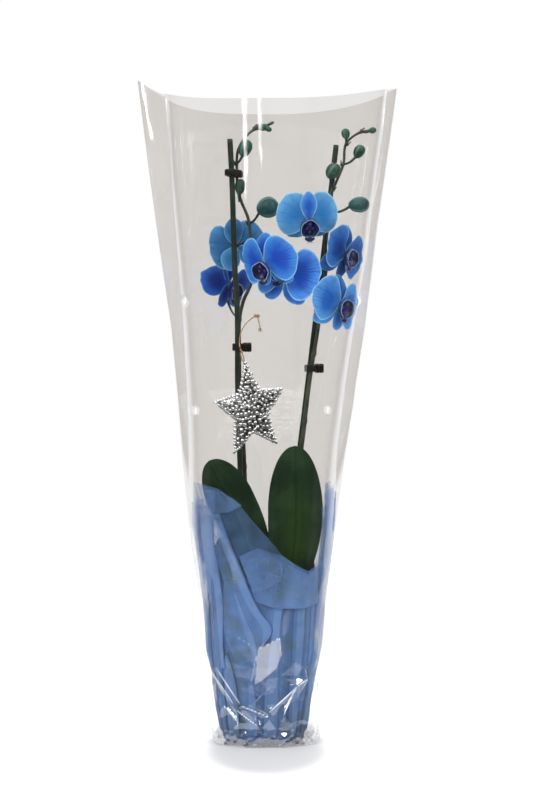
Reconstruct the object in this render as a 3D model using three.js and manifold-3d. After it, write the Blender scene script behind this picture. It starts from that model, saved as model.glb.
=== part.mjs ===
// A potted moth orchid with two blue flower spikes, dressed for sale: the nursery pot stands in a
// gathered blue non-woven wrap, and a clear film sleeve goes round it all.
// Millimetres, +Z up. The front faces -Y, and +X is to the right as seen from the front.
// The origin is the middle of the flat film floor that the pot stands on.
import * as THREE from "three";
import { mergeVertices } from "three/addons/utils/BufferGeometryUtils.js";
import Module from "manifold-3d";

const wasm = await Module();
wasm.setup();

// Driving dimensions: the film sleeve
const FILM = 0.9;
const SLEEVE_CORNER_LEFT = 726;
const SLEEVE_CORNER_RIGHT = 717;
const SLEEVE_MIDDLE = 697;
const SLEEVE_SIDES = 32;
// height, half width to the left, half width to the right, half depth
const SLEEVE_STATIONS = [
  [0, 55, 54, 53],
  [10, 59, 56, 57],
  [48, 61, 54.5, 56],
  [112, 70, 62, 66],
  [160, 73, 66, 70],
  [209, 82.5, 72, 71.5],
  [319, 92.4, 87, 72],
  [450, 104.5, 108, 72],
  [560, 121, 122, 70],
  [SLEEVE_MIDDLE, 141.5, 143.5, 67],
];
const AIR_HOLE_WIDTH = 5.6;
const AIR_HOLE_HEIGHT = 9.6;
// left and right of the middle, height
const AIR_HOLES = [
  [-89, 482],
  [-77.5, 362],
  [67, 363],
  [101, 483],
];

// Driving dimensions: the non-woven wrap
const WRAP = 1.0;
const WRAP_FOOT = 3.0;
const WRAP_SIDES = 34;
const WRAP_PLEATS = 9;
const WRAP_PLEAT = 1.5;
const WRAP_STATIONS = [
  [WRAP_FOOT, 47, 41, 44.5],
  [22, 50, 42.5, 46.5],
  [66, 56, 49, 52.8],
  [104, 63, 56, 59.8],
  [154, 66.5, 59.5, 62.5],
  [198, 72, 66, 63],
  [240, 78, 71, 63.5],
  [290, 78, 73, 63.5],
];
// bearing in degrees from +X towards +Y, height of the cut edge
const WRAP_EDGE = [
  [0, 283],
  [20, 268],
  [40, 244],
  [60, 224],
  [90, 212],
  [120, 226],
  [160, 268],
  [180, 286],
  [205, 283],
  [230, 275],
  [245, 267],
  [270, 228],
  [284, 208],
  [307, 188],
  [320, 191],
  [333, 204],
  [344, 268],
  [351, 285],
  [360, 283],
];
// The turned-down flap in front: bearings of its two ends, heights of its hem and its peak
const FLAP_FROM = 246;
const FLAP_TO = 334;
const FLAP_HEM = 150;
const FLAP_PEAK = 222;
const FLAP_EXTRA = 0.2;
const FLAP_STANDS_OFF = 1.8;

// Driving dimensions: pot, bark and crown
const POT_CENTRE = -4;
const POT_HEIGHT = 106;
const POT_BASE_RADIUS = 41.5;
const POT_RIM_RADIUS = 55;
const POT_LIP = 0.8;
const POT_BAND = 10;
const POT_STEP = 1.2;
const POT_WALL = 1.2;
const POT_FLOOR_AT = 4.6;
const POT_DRAIN_RADIUS = 4;
const POT_DRAIN_CIRCLE = 27;
const POT_DRAINS = 4;
const BARK_TOP = 94;
const BARK_CHIPS = 13;
const CROWN_RADIUS = 8;
const CROWN_TOP = 121;
const GAP = 0.35;

// Driving dimensions: stakes, stems and clips
const STAKE_RADIUS = 3.0;
const STEM_RADIUS = 2.7;
const STEM_STEPS = 30;
const STEM_TIP_RADIUS = 1.3;
const PEDICEL_RADIUS = 1.5;
const CLIP_WALL = 1.8;
const CLIP_HEIGHT = 8;

// Driving dimensions: flowers, measured flat
const PETAL_LENGTH = 38;
const PETAL_WIDTH = 54;
const SEPAL_LENGTH = 35;
const SEPAL_WIDTH = 25;
const PETAL_ANGLE = 84;
const SEPAL_ANGLE = 140;
const PETAL_THICKNESS = 0.9;
const HUB_RADIUS = 3.6;
const HUB_DEPTH = 6;
const HUB_BACK = -3.6;
const LIP_RADIUS = 12.2;
const LIP_DEPTH = 10;
const LIP_BACK = 3.6;
const LIP_LOW = 5;
const LIP_WALL = 1.1;

// Driving dimensions: leaves, star and twine
const LEAF_THICKNESS = 1.8;
const STAR_TIP_RADIUS = 54;
const STAR_NOTCH_RADIUS = 26;
const STAR_CORE = 3;
const STAR_TRIES = 700;
const BEAD_SMALL = 3.4;
const BEAD_LARGE = 5.2;
const TWINE = 1.4;

const UP = new THREE.Vector3(0, 0, 1);
const radians = THREE.MathUtils.degToRad;

function vector(point) {
  return new THREE.Vector3(point[0], point[1], point[2]);
}

// The same draws on every run.
function seededRandom(seed) {
  let state = seed >>> 0;
  return () => {
    state = (Math.imul(state, 1664525) + 1013904223) >>> 0;
    return state / 4294967296;
  };
}

// The rows of a table hold a height and the values there: straight lines join the rows.
function between(rows, at) {
  const last = rows.length - 1;
  if (at <= rows[0][0]) return rows[0].slice(1);
  for (let k = 0; k < last; k += 1) {
    const [low, high] = [rows[k], rows[k + 1]];
    if (at <= high[0]) {
      const share = (at - low[0]) / (high[0] - low[0]);
      return low.slice(1).map((value, i) => value + (high[i + 1] - value) * share);
    }
  }
  return rows[last].slice(1);
}

// Closed geometry and solids

function toSolid(geometry) {
  const bare = new THREE.BufferGeometry();
  bare.setAttribute("position", geometry.getAttribute("position"));
  bare.setIndex(geometry.getIndex());
  const merged = mergeVertices(bare, 1e-4);
  const index = Array.from(merged.getIndex().array);
  const kept = [];
  for (let i = 0; i < index.length; i += 3) {
    const [a, b, c] = index.slice(i, i + 3);
    if (a !== b && b !== c && a !== c) kept.push(a, b, c);
  }
  return new wasm.Manifold(
    new wasm.Mesh({
      numProp: 3,
      vertProperties: new Float32Array(merged.getAttribute("position").array),
      triVerts: new Uint32Array(kept),
    }),
  );
}

function toGeometry(solid) {
  const mesh = solid.getMesh();
  const geometry = new THREE.BufferGeometry();
  geometry.setAttribute("position", new THREE.BufferAttribute(new Float32Array(mesh.vertProperties), 3));
  geometry.setIndex(new THREE.BufferAttribute(new Uint32Array(mesh.triVerts), 1));
  return geometry;
}

function fuse(solids) {
  return solids.reduce((whole, next) => whole.add(next));
}

function fromLists(points, triangles) {
  const geometry = new THREE.BufferGeometry();
  const flat = points.flatMap((p) => [p.x, p.y, p.z]);
  geometry.setAttribute("position", new THREE.Float32BufferAttribute(flat, 3));
  geometry.setIndex(triangles);
  return geometry;
}

// A thin blade over a plan of points and triangles: both faces carry the same triangles, and a
// strip round the edge joins them. surface(u, v) gives the middle of the blade.
function blade(plan, triangles, edge, surface, thickness) {
  const step = 1e-3;
  const front = [];
  const back = [];
  for (const [u, v] of plan) {
    const middle = surface(u, v);
    const alongU = surface(u + step, v).sub(surface(u - step, v));
    const alongV = surface(u, v + step).sub(surface(u, v - step));
    const half = alongU.cross(alongV).normalize().multiplyScalar(thickness / 2);
    front.push(middle.clone().add(half));
    back.push(middle.clone().sub(half));
  }
  const count = plan.length;
  const faces = [];
  for (const [a, b, c] of triangles) {
    faces.push(a, b, c);
    faces.push(a + count, c + count, b + count);
  }
  for (let i = 0; i < edge.length; i += 1) {
    const [a, b] = [edge[i], edge[(i + 1) % edge.length]];
    faces.push(a, a + count, b + count);
    faces.push(a, b + count, b);
  }
  return fromLists([...front, ...back], faces);
}

// A plan of rings round a middle point, for round petals. outline gives [u, v] at a turn 0..1.
function roundPlan(outline, middle, rings, sides) {
  const plan = [middle];
  for (const ring of rings) {
    for (let i = 0; i < sides; i += 1) {
      const [u, v] = outline(i / sides);
      plan.push([middle[0] + (u - middle[0]) * ring, middle[1] + (v - middle[1]) * ring]);
    }
  }
  const triangles = [];
  for (let i = 0; i < sides; i += 1) {
    triangles.push([0, 1 + i, 1 + ((i + 1) % sides)]);
  }
  for (let k = 1; k < rings.length; k += 1) {
    for (let i = 0; i < sides; i += 1) {
      const next = (i + 1) % sides;
      const [a, b] = [1 + (k - 1) * sides + i, 1 + (k - 1) * sides + next];
      const [c, d] = [1 + k * sides + i, 1 + k * sides + next];
      triangles.push([a, c, d], [a, d, b]);
    }
  }
  const first = 1 + (rings.length - 1) * sides;
  const edge = Array.from({ length: sides }, (_, i) => first + i);
  return { plan, triangles, edge };
}

// A plan of rows from u = 0 to u = 1, with v from -1 to 1, for long leaves.
function rowPlan(rows, columns) {
  const plan = [];
  for (let k = 0; k <= rows; k += 1) {
    for (let i = 0; i <= columns; i += 1) {
      plan.push([k / rows, -1 + (2 * i) / columns]);
    }
  }
  const at = (k, i) => k * (columns + 1) + i;
  const triangles = [];
  for (let k = 0; k < rows; k += 1) {
    for (let i = 0; i < columns; i += 1) {
      triangles.push([at(k, i), at(k + 1, i), at(k + 1, i + 1)]);
      triangles.push([at(k, i), at(k + 1, i + 1), at(k, i + 1)]);
    }
  }
  const edge = [];
  for (let k = 0; k < rows; k += 1) edge.push(at(k, 0));
  for (let i = 0; i < columns; i += 1) edge.push(at(rows, i));
  for (let k = rows; k > 0; k -= 1) edge.push(at(k, columns));
  for (let i = columns; i > 0; i -= 1) edge.push(at(0, i));
  return { plan, triangles, edge };
}

// A cup with a floor: outer(k, i) and inner(k, i) give the walls from the floor up to the rim.
function cup(levels, sides, outer, inner) {
  const points = [];
  for (const wall of [outer, inner]) {
    for (let k = 0; k < levels; k += 1) {
      for (let i = 0; i < sides; i += 1) points.push(wall(k, i));
    }
  }
  const at = (wall, k, i) => (wall * levels + k) * sides + (i % sides);
  const faces = [];
  for (let k = 0; k + 1 < levels; k += 1) {
    for (let i = 0; i < sides; i += 1) {
      faces.push(at(0, k, i), at(0, k, i + 1), at(0, k + 1, i + 1));
      faces.push(at(0, k, i), at(0, k + 1, i + 1), at(0, k + 1, i));
      faces.push(at(1, k, i), at(1, k + 1, i + 1), at(1, k, i + 1));
      faces.push(at(1, k, i), at(1, k + 1, i), at(1, k + 1, i + 1));
    }
  }
  const rim = levels - 1;
  const floors = points.length;
  for (const wall of [0, 1]) {
    const middle = new THREE.Vector3();
    for (let i = 0; i < sides; i += 1) middle.add(points[at(wall, 0, i)]);
    points.push(middle.divideScalar(sides));
  }
  for (let i = 0; i < sides; i += 1) {
    faces.push(at(0, rim, i), at(0, rim, i + 1), at(1, rim, i + 1));
    faces.push(at(0, rim, i), at(1, rim, i + 1), at(1, rim, i));
    faces.push(floors, at(0, 0, i + 1), at(0, 0, i));
    faces.push(floors + 1, at(1, 0, i), at(1, 0, i + 1));
  }
  return fromLists(points, faces);
}

// A round rod along a smooth curve, with a radius for each share of its length and flat ends.
function rod(points, radiusAt, sides, steps) {
  const curve = new THREE.CatmullRomCurve3(points.map(vector), false, "centripetal");
  const frames = curve.computeFrenetFrames(steps, false);
  const corners = [];
  for (let k = 0; k <= steps; k += 1) {
    const middle = curve.getPointAt(k / steps);
    const radius = radiusAt(k / steps);
    for (let i = 0; i < sides; i += 1) {
      const turn = (2 * Math.PI * i) / sides;
      const corner = middle.clone();
      corner.addScaledVector(frames.normals[k], Math.cos(turn) * radius);
      corner.addScaledVector(frames.binormals[k], Math.sin(turn) * radius);
      corners.push(corner);
    }
  }
  const at = (k, i) => k * sides + (i % sides);
  const faces = [];
  for (let k = 0; k < steps; k += 1) {
    for (let i = 0; i < sides; i += 1) {
      faces.push(at(k, i), at(k, i + 1), at(k + 1, i + 1));
      faces.push(at(k, i), at(k + 1, i + 1), at(k + 1, i));
    }
  }
  for (let i = 1; i + 1 < sides; i += 1) {
    faces.push(at(0, 0), at(0, i + 1), at(0, i));
    faces.push(at(steps, 0), at(steps, i), at(steps, i + 1));
  }
  return fromLists(corners, faces);
}

// A round body stretched along an axis: buds, the hub of a bloom, the end of a column.
function pod(centre, axis, length, width, detail) {
  const geometry = new THREE.IcosahedronGeometry(1, detail);
  geometry.scale(width / 2, width / 2, length / 2);
  const turn = new THREE.Quaternion().setFromUnitVectors(UP, axis.clone().normalize());
  geometry.applyQuaternion(turn);
  geometry.translate(centre.x, centre.y, centre.z);
  return geometry;
}

// Flat rounded section, wide to the left and right and pointed there when power is under 2
function sectionPoint([left, right, depth], power, turn, inset) {
  const [c, s] = [Math.cos(turn), Math.sin(turn)];
  const reach = (c < 0 ? left : right) - inset;
  const x = Math.sign(c) * Math.abs(c) ** (2 / power) * reach;
  const y = Math.sign(s) * Math.abs(s) ** (2 / power) * (depth - inset);
  return [x, y];
}

// The film sleeve

function sleeveRim(x, left, right) {
  if (x < 0) return (SLEEVE_CORNER_LEFT - SLEEVE_MIDDLE) * (-x / left) ** 4;
  return (SLEEVE_CORNER_RIGHT - SLEEVE_MIDDLE) * (x / right) ** 2.5;
}

function sleevePoint(k, i, inset, floor) {
  const [height, left, right, depth] = SLEEVE_STATIONS[k];
  const power = 2 - 0.24 * (height / SLEEVE_MIDDLE);
  const turn = (2 * Math.PI * i) / SLEEVE_SIDES;
  const [x, y] = sectionPoint([left, right, depth], power, turn, inset);
  // Near the base the film is gathered, so it bulges between its tucks.
  const gather = 1 + 0.02 * Math.sin(9 * turn) * Math.max(0, 1 - height / 90);
  const rise = sleeveRim(x, left, right) * (height / SLEEVE_MIDDLE) ** 4;
  return new THREE.Vector3(x * gather, y * gather, Math.max(height, floor) + rise);
}

function filmSleeve() {
  const inset = FILM * 1.35;
  const shell = cup(
    SLEEVE_STATIONS.length,
    SLEEVE_SIDES,
    (k, i) => sleevePoint(k, i, 0, 0),
    (k, i) => sleevePoint(k, i, inset, FILM * 1.6),
  );
  let solid = toSolid(shell);
  for (const [x, z] of AIR_HOLES) {
    const punch = new THREE.CylinderGeometry(AIR_HOLE_WIDTH / 2, AIR_HOLE_WIDTH / 2, 300, 8);
    punch.scale(1, 1, AIR_HOLE_HEIGHT / AIR_HOLE_WIDTH);
    punch.translate(x, 0, z);
    solid = solid.subtract(toSolid(punch));
  }
  return toGeometry(solid);
}

// The non-woven wrap

function wrapPoint(bearing, height, inset) {
  const turn = radians(bearing);
  const [x, y] = sectionPoint(between(WRAP_STATIONS, height), 2, turn, inset);
  const pleat = 0.5 + 0.5 * Math.sin(WRAP_PLEATS * turn + height * 0.012);
  const reach = Math.hypot(x, y);
  const scale = 1 + (pleat * WRAP_PLEAT * Math.min(1, height / 60)) / reach;
  return new THREE.Vector3(x * scale, y * scale, height);
}

function nonwovenWrap() {
  const shares = [0, 0.1, 0.26, 0.46, 0.66, 0.84, 1];
  const place = (inset, floor) => (k, i) => {
    const bearing = (360 * i) / WRAP_SIDES;
    const [edge] = between(WRAP_EDGE, bearing);
    const height = WRAP_FOOT + (edge - WRAP_FOOT) * shares[k];
    const point = wrapPoint(bearing, height, inset);
    point.z = Math.max(point.z, floor);
    return point;
  };
  const sheet = cup(shares.length, WRAP_SIDES, place(0, 0), place(WRAP, WRAP_FOOT + WRAP));
  const { plan, triangles, edge } = rowPlan(9, 3);
  // u runs along the flap, v from its hem up to the fold at the wrap's edge.
  const flap = (u, v) => {
    const bearing = FLAP_FROM + (FLAP_TO - FLAP_FROM) * u;
    const [fold] = between(WRAP_EDGE, bearing);
    const top = Math.min(fold - 2, FLAP_PEAK - 30 * Math.abs(u - 0.12));
    const hem = FLAP_HEM + 8 * Math.cos(u * 5) + 26 * Math.max(0, 0.25 - u);
    const height = hem + (top - hem) * (v + 1) * 0.5;
    return wrapPoint(bearing, height, -FLAP_STANDS_OFF * (1 - v) * 0.5);
  };
  const turned = blade(plan, triangles, edge, flap, WRAP + FLAP_EXTRA);
  return toGeometry(fuse([toSolid(sheet), toSolid(turned)]));
}

// Pot, bark and crown

function nurseryPot() {
  const top = POT_FLOOR_AT + POT_HEIGHT;
  const shoulder = POT_RIM_RADIUS - POT_STEP;
  const profile = [
    [0, POT_FLOOR_AT],
    [POT_BASE_RADIUS, POT_FLOOR_AT],
    [shoulder, top - POT_BAND - 1],
    [POT_RIM_RADIUS, top - POT_BAND],
    [POT_RIM_RADIUS, top - 1.4],
    [POT_RIM_RADIUS + POT_LIP, top - 1.4],
    [POT_RIM_RADIUS + POT_LIP, top],
    [POT_RIM_RADIUS - POT_WALL, top],
    [POT_RIM_RADIUS - POT_WALL, top - POT_BAND + 0.4],
    [shoulder - POT_WALL, top - POT_BAND - 0.6],
    [POT_BASE_RADIUS - POT_WALL, POT_FLOOR_AT + POT_WALL],
    [0, POT_FLOOR_AT + POT_WALL],
  ].map(([r, z]) => new THREE.Vector2(r, z));
  const shell = new THREE.LatheGeometry(profile, 22);
  shell.rotateX(Math.PI / 2);
  shell.translate(POT_CENTRE, 0, 0);
  let solid = toSolid(shell);
  for (let i = 0; i < POT_DRAINS; i += 1) {
    const turn = (2 * Math.PI * i) / POT_DRAINS;
    const drain = new THREE.CylinderGeometry(POT_DRAIN_RADIUS, POT_DRAIN_RADIUS, 10, 8);
    drain.rotateX(Math.PI / 2);
    const reach = POT_DRAIN_CIRCLE;
    drain.translate(POT_CENTRE + reach * Math.cos(turn), reach * Math.sin(turn), POT_FLOOR_AT);
    solid = solid.subtract(toSolid(drain));
  }
  return toGeometry(solid);
}

function barkMix() {
  const random = seededRandom(11);
  const low = POT_FLOOR_AT + POT_WALL + GAP;
  const slope = (POT_RIM_RADIUS - POT_STEP - POT_BASE_RADIUS) / (POT_HEIGHT - POT_BAND - 1);
  // The bark has settled a little away from the wall.
  const radiusAt = (z) => 0.97 * (POT_BASE_RADIUS - POT_WALL + slope * (z - POT_FLOOR_AT)) - GAP;
  const body = new THREE.CylinderGeometry(radiusAt(BARK_TOP), radiusAt(low), BARK_TOP - low, 22);
  body.rotateX(Math.PI / 2);
  body.translate(POT_CENTRE, 0, (BARK_TOP + low) / 2);
  const pieces = [toSolid(body)];
  for (let i = 0; i < BARK_CHIPS; i += 1) {
    const reach = 12 + 28 * Math.sqrt(random());
    const turn = 2 * Math.PI * (i * 0.382 + 0.05 * random());
    const chip = new THREE.BoxGeometry(10 + 8 * random(), 7 + 4 * random(), 4 + 3 * random());
    chip.rotateX(0.5 * (random() - 0.5));
    chip.rotateY(0.7 * (random() - 0.5));
    chip.rotateZ(6.3 * random());
    chip.translate(POT_CENTRE + reach * Math.cos(turn), reach * Math.sin(turn), BARK_TOP + 0.6);
    pieces.push(toSolid(chip));
  }
  let solid = fuse(pieces);
  for (const stake of [LEFT_STAKE, RIGHT_STAKE]) {
    solid = solid.subtract(toSolid(rod(stake, () => STAKE_RADIUS + GAP + 0.2, 8, 12)));
  }
  solid = solid.subtract(toSolid(crownRod(GAP)));
  for (const root of ROOTS) {
    solid = solid.subtract(toSolid(rootRod(root, GAP)));
  }
  return toGeometry(solid);
}

function crownRod(extra) {
  const points = [
    [POT_CENTRE, 0, 74 - extra],
    [POT_CENTRE, 0, 96],
    [POT_CENTRE, 0, CROWN_TOP + extra],
  ];
  const swell = (share) => (CROWN_RADIUS + extra) * (0.72 + 0.28 * Math.sin(Math.PI * (0.2 + 0.6 * share)));
  return rod(points, swell, 12, 5);
}

// Thick roots that arch out of the crown and dive into the bark
const ROOTS = [
  { bearing: 222, reach: 36, crest: 103 },
  { bearing: 268, reach: 31, crest: 102 },
  { bearing: 318, reach: 38, crest: 103 },
  { bearing: 76, reach: 34, crest: 102 },
];

function rootRod({ bearing, reach, crest }, extra) {
  const [c, s] = [Math.cos(radians(bearing)), Math.sin(radians(bearing))];
  const side = [-s, c];
  const spot = (distance, drift, z) => [
    POT_CENTRE + c * distance + side[0] * drift,
    s * distance + side[1] * drift,
    z,
  ];
  const points = [
    spot(3, 0, 94),
    spot(reach * 0.4, 2, crest),
    spot(reach * 0.75, 5, crest - 4),
    spot(reach, 7, 88),
    spot(reach * 1.05, 8, 78 - extra),
  ];
  return rod(points, () => 2.6 + extra, 6, 6);
}

function plantCrown() {
  return toGeometry(fuse([toSolid(crownRod(0)), ...ROOTS.map((root) => toSolid(rootRod(root, 0)))]));
}

// Leaves: a middle line, a width, and the bearing that the upper face looks to

const LEAVES = {
  leaf_front_right: {
    line: [
      [3.2, -9, 112],
      [11, -22, 142],
      [25, -38, 186],
      [31.5, -45, 236],
      [31.5, -47, 284],
      [30.6, -47, 324.5],
    ],
    across: [1, 0.28, 0.06],
    width: 62,
    widest: 0.68,
    fold: 0.1,
  },
  leaf_front_left: {
    line: [
      [-9, -8.8, 112],
      [-8.5, -18, 142],
      [-10.5, -26, 180],
      [-21.5, -32, 223],
      [-40.5, -35, 266],
      [-62.5, -29, 308],
    ],
    across: [0.86, -0.45, 0.24],
    width: 58,
    widest: 0.76,
    fold: 0.12,
  },
  leaf_back_right: {
    line: [
      [7.4, 1.8, 100.5],
      [20, 5.6, 106],
      [36, 12, 128],
      [45, 18, 160],
      [47, 22, 190],
      [45, 25, 210],
    ],
    across: [-0.45, 0.9, 0],
    width: 42,
    widest: 0.6,
    fold: 0.14,
  },
  leaf_back_left: {
    line: [
      [-15, 6.4, 99],
      [-26, 14, 107],
      [-40, 22, 130],
      [-50, 26, 164],
      [-53, 26, 200],
      [-51, 25, 222],
    ],
    across: [-0.5, -0.86, 0],
    width: 44,
    widest: 0.6,
    fold: 0.14,
  },
};

function leafBlade({ line, across, width, widest, fold }) {
  const curve = new THREE.CatmullRomCurve3(line.map(vector), false, "centripetal");
  const widthAt = (u) => {
    if (u > widest) return width * Math.sqrt(Math.max(0, 1 - ((u - widest) / (1 - widest)) ** 2));
    const share = u / widest;
    return width * (0.16 + 0.84 * Math.sin((Math.PI / 2) * share) ** 1.4);
  };
  const surface = (u, v) => {
    // Rows lie closer together near the tip, so that it comes out round.
    const share = u * (1.6 - 0.6 * u);
    const spot = Math.min(Math.max(share, 0), 1);
    const middle = curve.getPointAt(spot);
    const along = curve.getTangentAt(spot);
    const side = vector(across);
    side.addScaledVector(along, -side.dot(along)).normalize();
    const normal = along.clone().cross(side);
    const half = Math.max(widthAt(spot), 1.4) / 2;
    // Each half rises from the sunk midrib and turns down a little at the edge.
    const lift = fold * half * (1.6 * Math.abs(v) - 0.8 * v * v);
    middle.addScaledVector(along, (share - spot) * 100);
    return middle.addScaledVector(side, v * half).addScaledVector(normal, lift);
  };
  const { plan, triangles, edge } = rowPlan(10, 4);
  return blade(plan, triangles, edge, surface, LEAF_THICKNESS);
}

// Stakes and flower spikes

const LEFT_STAKE = [
  [-18.6, -1.5, 62],
  [-22, -3, 154],
  [-28.4, -5, 285],
  [-31.7, -6, 395],
  [-32, -6.5, 468],
  [-35, -7, 524],
  [-38, -7.5, 616],
  [-40.2, -8, 660],
];
const RIGHT_STAKE = [
  [5.8, 14, 62],
  [11.6, 13.5, 110],
  [37.2, 9.5, 324],
  [52.6, 7.5, 450],
  [63.4, 7, 540],
  [76.8, 6, 655],
];
const LEFT_STEM = [
  [-15.4, 0, 106],
  [-17, 3, 154],
  [-20, 3, 220],
  [-23.8, 2.6, 285],
  [-25.4, 2.6, 323],
  [-29.6, 3, 395],
  [-30, 2.4, 432],
  [-29.8, 3, 462],
  [-25.8, 5, 482],
  [-17, 8, 503],
  [-14, 9, 518],
  [-17, 9, 542],
  [-19.6, 9, 572],
  [-31, 5.5, 602],
  [-32.6, 2, 625],
  [-31.6, 2, 648],
  [-25.6, 0.5, 660],
  [-15.4, 0, 670.5],
  [-7, 0, 674.5],
  [1.6, 0, 677],
];
const RIGHT_STEM = [
  [7.4, 0, 112],
  [10, 1, 142],
  [19.5, 2.5, 210],
  [30, 2, 270],
  [38.8, 1.6, 324],
  [47.4, 0, 395],
  [56.2, -1, 450],
  [61, -1.6, 486],
  [65, -2, 514],
  [65, -2, 549],
  [69.8, -1.4, 598],
  [77.2, -1, 615],
  [84.6, 0, 634],
  [87.6, 0, 656],
  [101, 0, 667.5],
  [113, 0, 670.5],
];

// The point at a height on the straight runs between the stations of a rod.
function stemAt(stem, height) {
  const curve = new THREE.CatmullRomCurve3(stem.map(vector), false, "centripetal");
  const stations = Array.from({ length: STEM_STEPS + 1 }, (_, k) => curve.getPointAt(k / STEM_STEPS));
  let best = stations[0];
  for (let k = 0; k < STEM_STEPS; k += 1) {
    for (let share = 0; share < 1; share += 0.1) {
      const point = stations[k].clone().lerp(stations[k + 1], share);
      if (Math.abs(point.z - height) < Math.abs(best.z - height)) best = point;
    }
  }
  return best;
}

// Blooms: where the petals meet, which way the face looks (turn to the right, nod down, roll
// anticlockwise), how far each petal sweeps back (right, left, top, low right, low left), and the
// height on the stem where the pedicel starts. by is a point that a longer pedicel passes,
// slender narrows the petals, raised is how many degrees higher the two petals stand, lip makes
// the lip smaller, and crest is what differs for a top sepal that lies in front of the petals.
const BLOOMS = {
  right_top: {
    at: [45.6, -33, 569],
    face: [8, 30, 4],
    sweeps: [20, 20, 6, 12, 12],
    crest: { width: 18, back: 0.8 },
    scale: 0.95,
    raised: 14,
    from: 558,
  },
  right_middle: {
    at: [86, -8, 535],
    face: [52, 8, -18],
    sweeps: [-2, -4, 7, 12, 12],
    scale: 0.93,
    from: 516,
  },
  right_low: {
    at: [80.5, -18, 479],
    face: [44, 6, -14],
    sweeps: [10, 10, 15, 15, 15],
    scale: 0.96,
    from: 462,
  },
  left_front: {
    at: [-2, -33, 521.5],
    face: [-30, 20, 4],
    sweeps: [18, 18, 20, 4, 11],
    scale: 0.95,
    raised: 6,
    from: 506,
  },
  left_back: {
    at: [-35, 34, 545],
    face: [-160, 6, -12],
    sweeps: [12, 12, 16, 5, 5],
    scale: 0.92,
    lip: 0.8,
    from: 552,
  },
  left_right: {
    at: [20.5, -11, 513],
    face: [-28, -12, -12],
    sweeps: [6, 12, 41, 12, 12],
    scale: 1.07,
    lip: 0.8,
    from: 545,
    by: [2, 30, 528],
  },
  left_low: {
    at: [-41, 34, 502.5],
    face: [55, 20, 2],
    sweeps: [-8, 36, 20, -20, -20],
    scale: 0.88,
    slender: 0.74,
    from: 462,
    by: [-41, 49, 478],
  },
};

function bloomFrame({ at, face: [turn, nod, roll] }) {
  const [t, n, r] = [radians(turn), radians(nod), radians(roll)];
  const face = new THREE.Vector3(Math.sin(t) * Math.cos(n), -Math.cos(t) * Math.cos(n), -Math.sin(n));
  const up = UP.clone().addScaledVector(face, -UP.dot(face)).normalize();
  up.applyAxisAngle(face, r);
  const right = up.clone().cross(face);
  return { origin: vector(at), face, up, right };
}

function inFrame(frame, x, y, z) {
  const point = frame.origin.clone();
  point.addScaledVector(frame.right, x);
  point.addScaledVector(frame.up, y);
  return point.addScaledVector(frame.face, z);
}

// One petal or sepal. angle is clockwise from straight up as the viewer sees it.
function petal(frame, shape) {
  const { angle, length, width, back, cupped, sweep, start, widest, clawed, pointed } = shape;
  const { rings, sides } = shape;
  const way = [Math.sin(radians(angle)), Math.cos(radians(angle))];
  const side = [way[1], -way[0]];
  const [cosine, sine] = [Math.cos(radians(sweep)), Math.sin(radians(sweep))];
  const surface = (u, v) => {
    const along = start + u * (length - start);
    const across = (v * width) / 2;
    const share = along / length;
    const flat = along * cosine;
    const lift = -along * sine + back + cupped * (across / width) ** 2 * width - 3 * share * share;
    return inFrame(
      frame,
      way[0] * flat + side[0] * across,
      way[1] * flat + side[1] * across,
      lift,
    );
  };
  const outline = (share) => {
    const turn = 2 * Math.PI * share;
    const c = Math.cos(turn);
    const u = c > 0 ? widest + (1 - widest) * c : widest * (1 + c);
    const narrow = c < 0 ? 1 - clawed * (-c) ** 1.5 : 1 - pointed * c ** 3;
    return [u, Math.sin(turn) * narrow];
  };
  const { plan, triangles, edge } = roundPlan(outline, [widest, 0], rings, sides);
  return blade(plan, triangles, edge, surface, PETAL_THICKNESS);
}

function bloomPetals(bloom) {
  const frame = bloomFrame(bloom);
  const size = bloom.scale;
  const middle = inFrame(frame, 0, 0, HUB_BACK + HUB_DEPTH / 2);
  const solids = [toSolid(pod(middle, frame.face, HUB_DEPTH, HUB_RADIUS * 2, 0))];
  const wide = {
    length: PETAL_LENGTH * size,
    width: PETAL_WIDTH * size * (bloom.slender ?? 1),
    back: 0.2,
    cupped: 0.1,
    start: 1.2,
    widest: 0.47,
    clawed: 0.2,
    pointed: 0.04,
    rings: [0.58, 1],
    sides: 12,
  };
  const slim = {
    length: SEPAL_LENGTH * size,
    width: SEPAL_WIDTH * size,
    back: -1.8,
    cupped: 0.18,
    start: 0.8,
    widest: 0.55,
    clawed: 0.45,
    pointed: 0.22,
    rings: [1],
    sides: 10,
  };
  const petals = [
    { ...wide, angle: PETAL_ANGLE - (bloom.raised ?? 0) },
    { ...wide, angle: (bloom.raised ?? 0) - PETAL_ANGLE },
    { ...slim, angle: 0, ...bloom.crest },
    { ...slim, angle: SEPAL_ANGLE },
    { ...slim, angle: -SEPAL_ANGLE },
  ];
  petals.forEach((shape, i) => {
    solids.push(toSolid(petal(frame, { ...shape, sweep: bloom.sweeps[i] })));
  });
  return toGeometry(fuse(solids));
}

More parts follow.
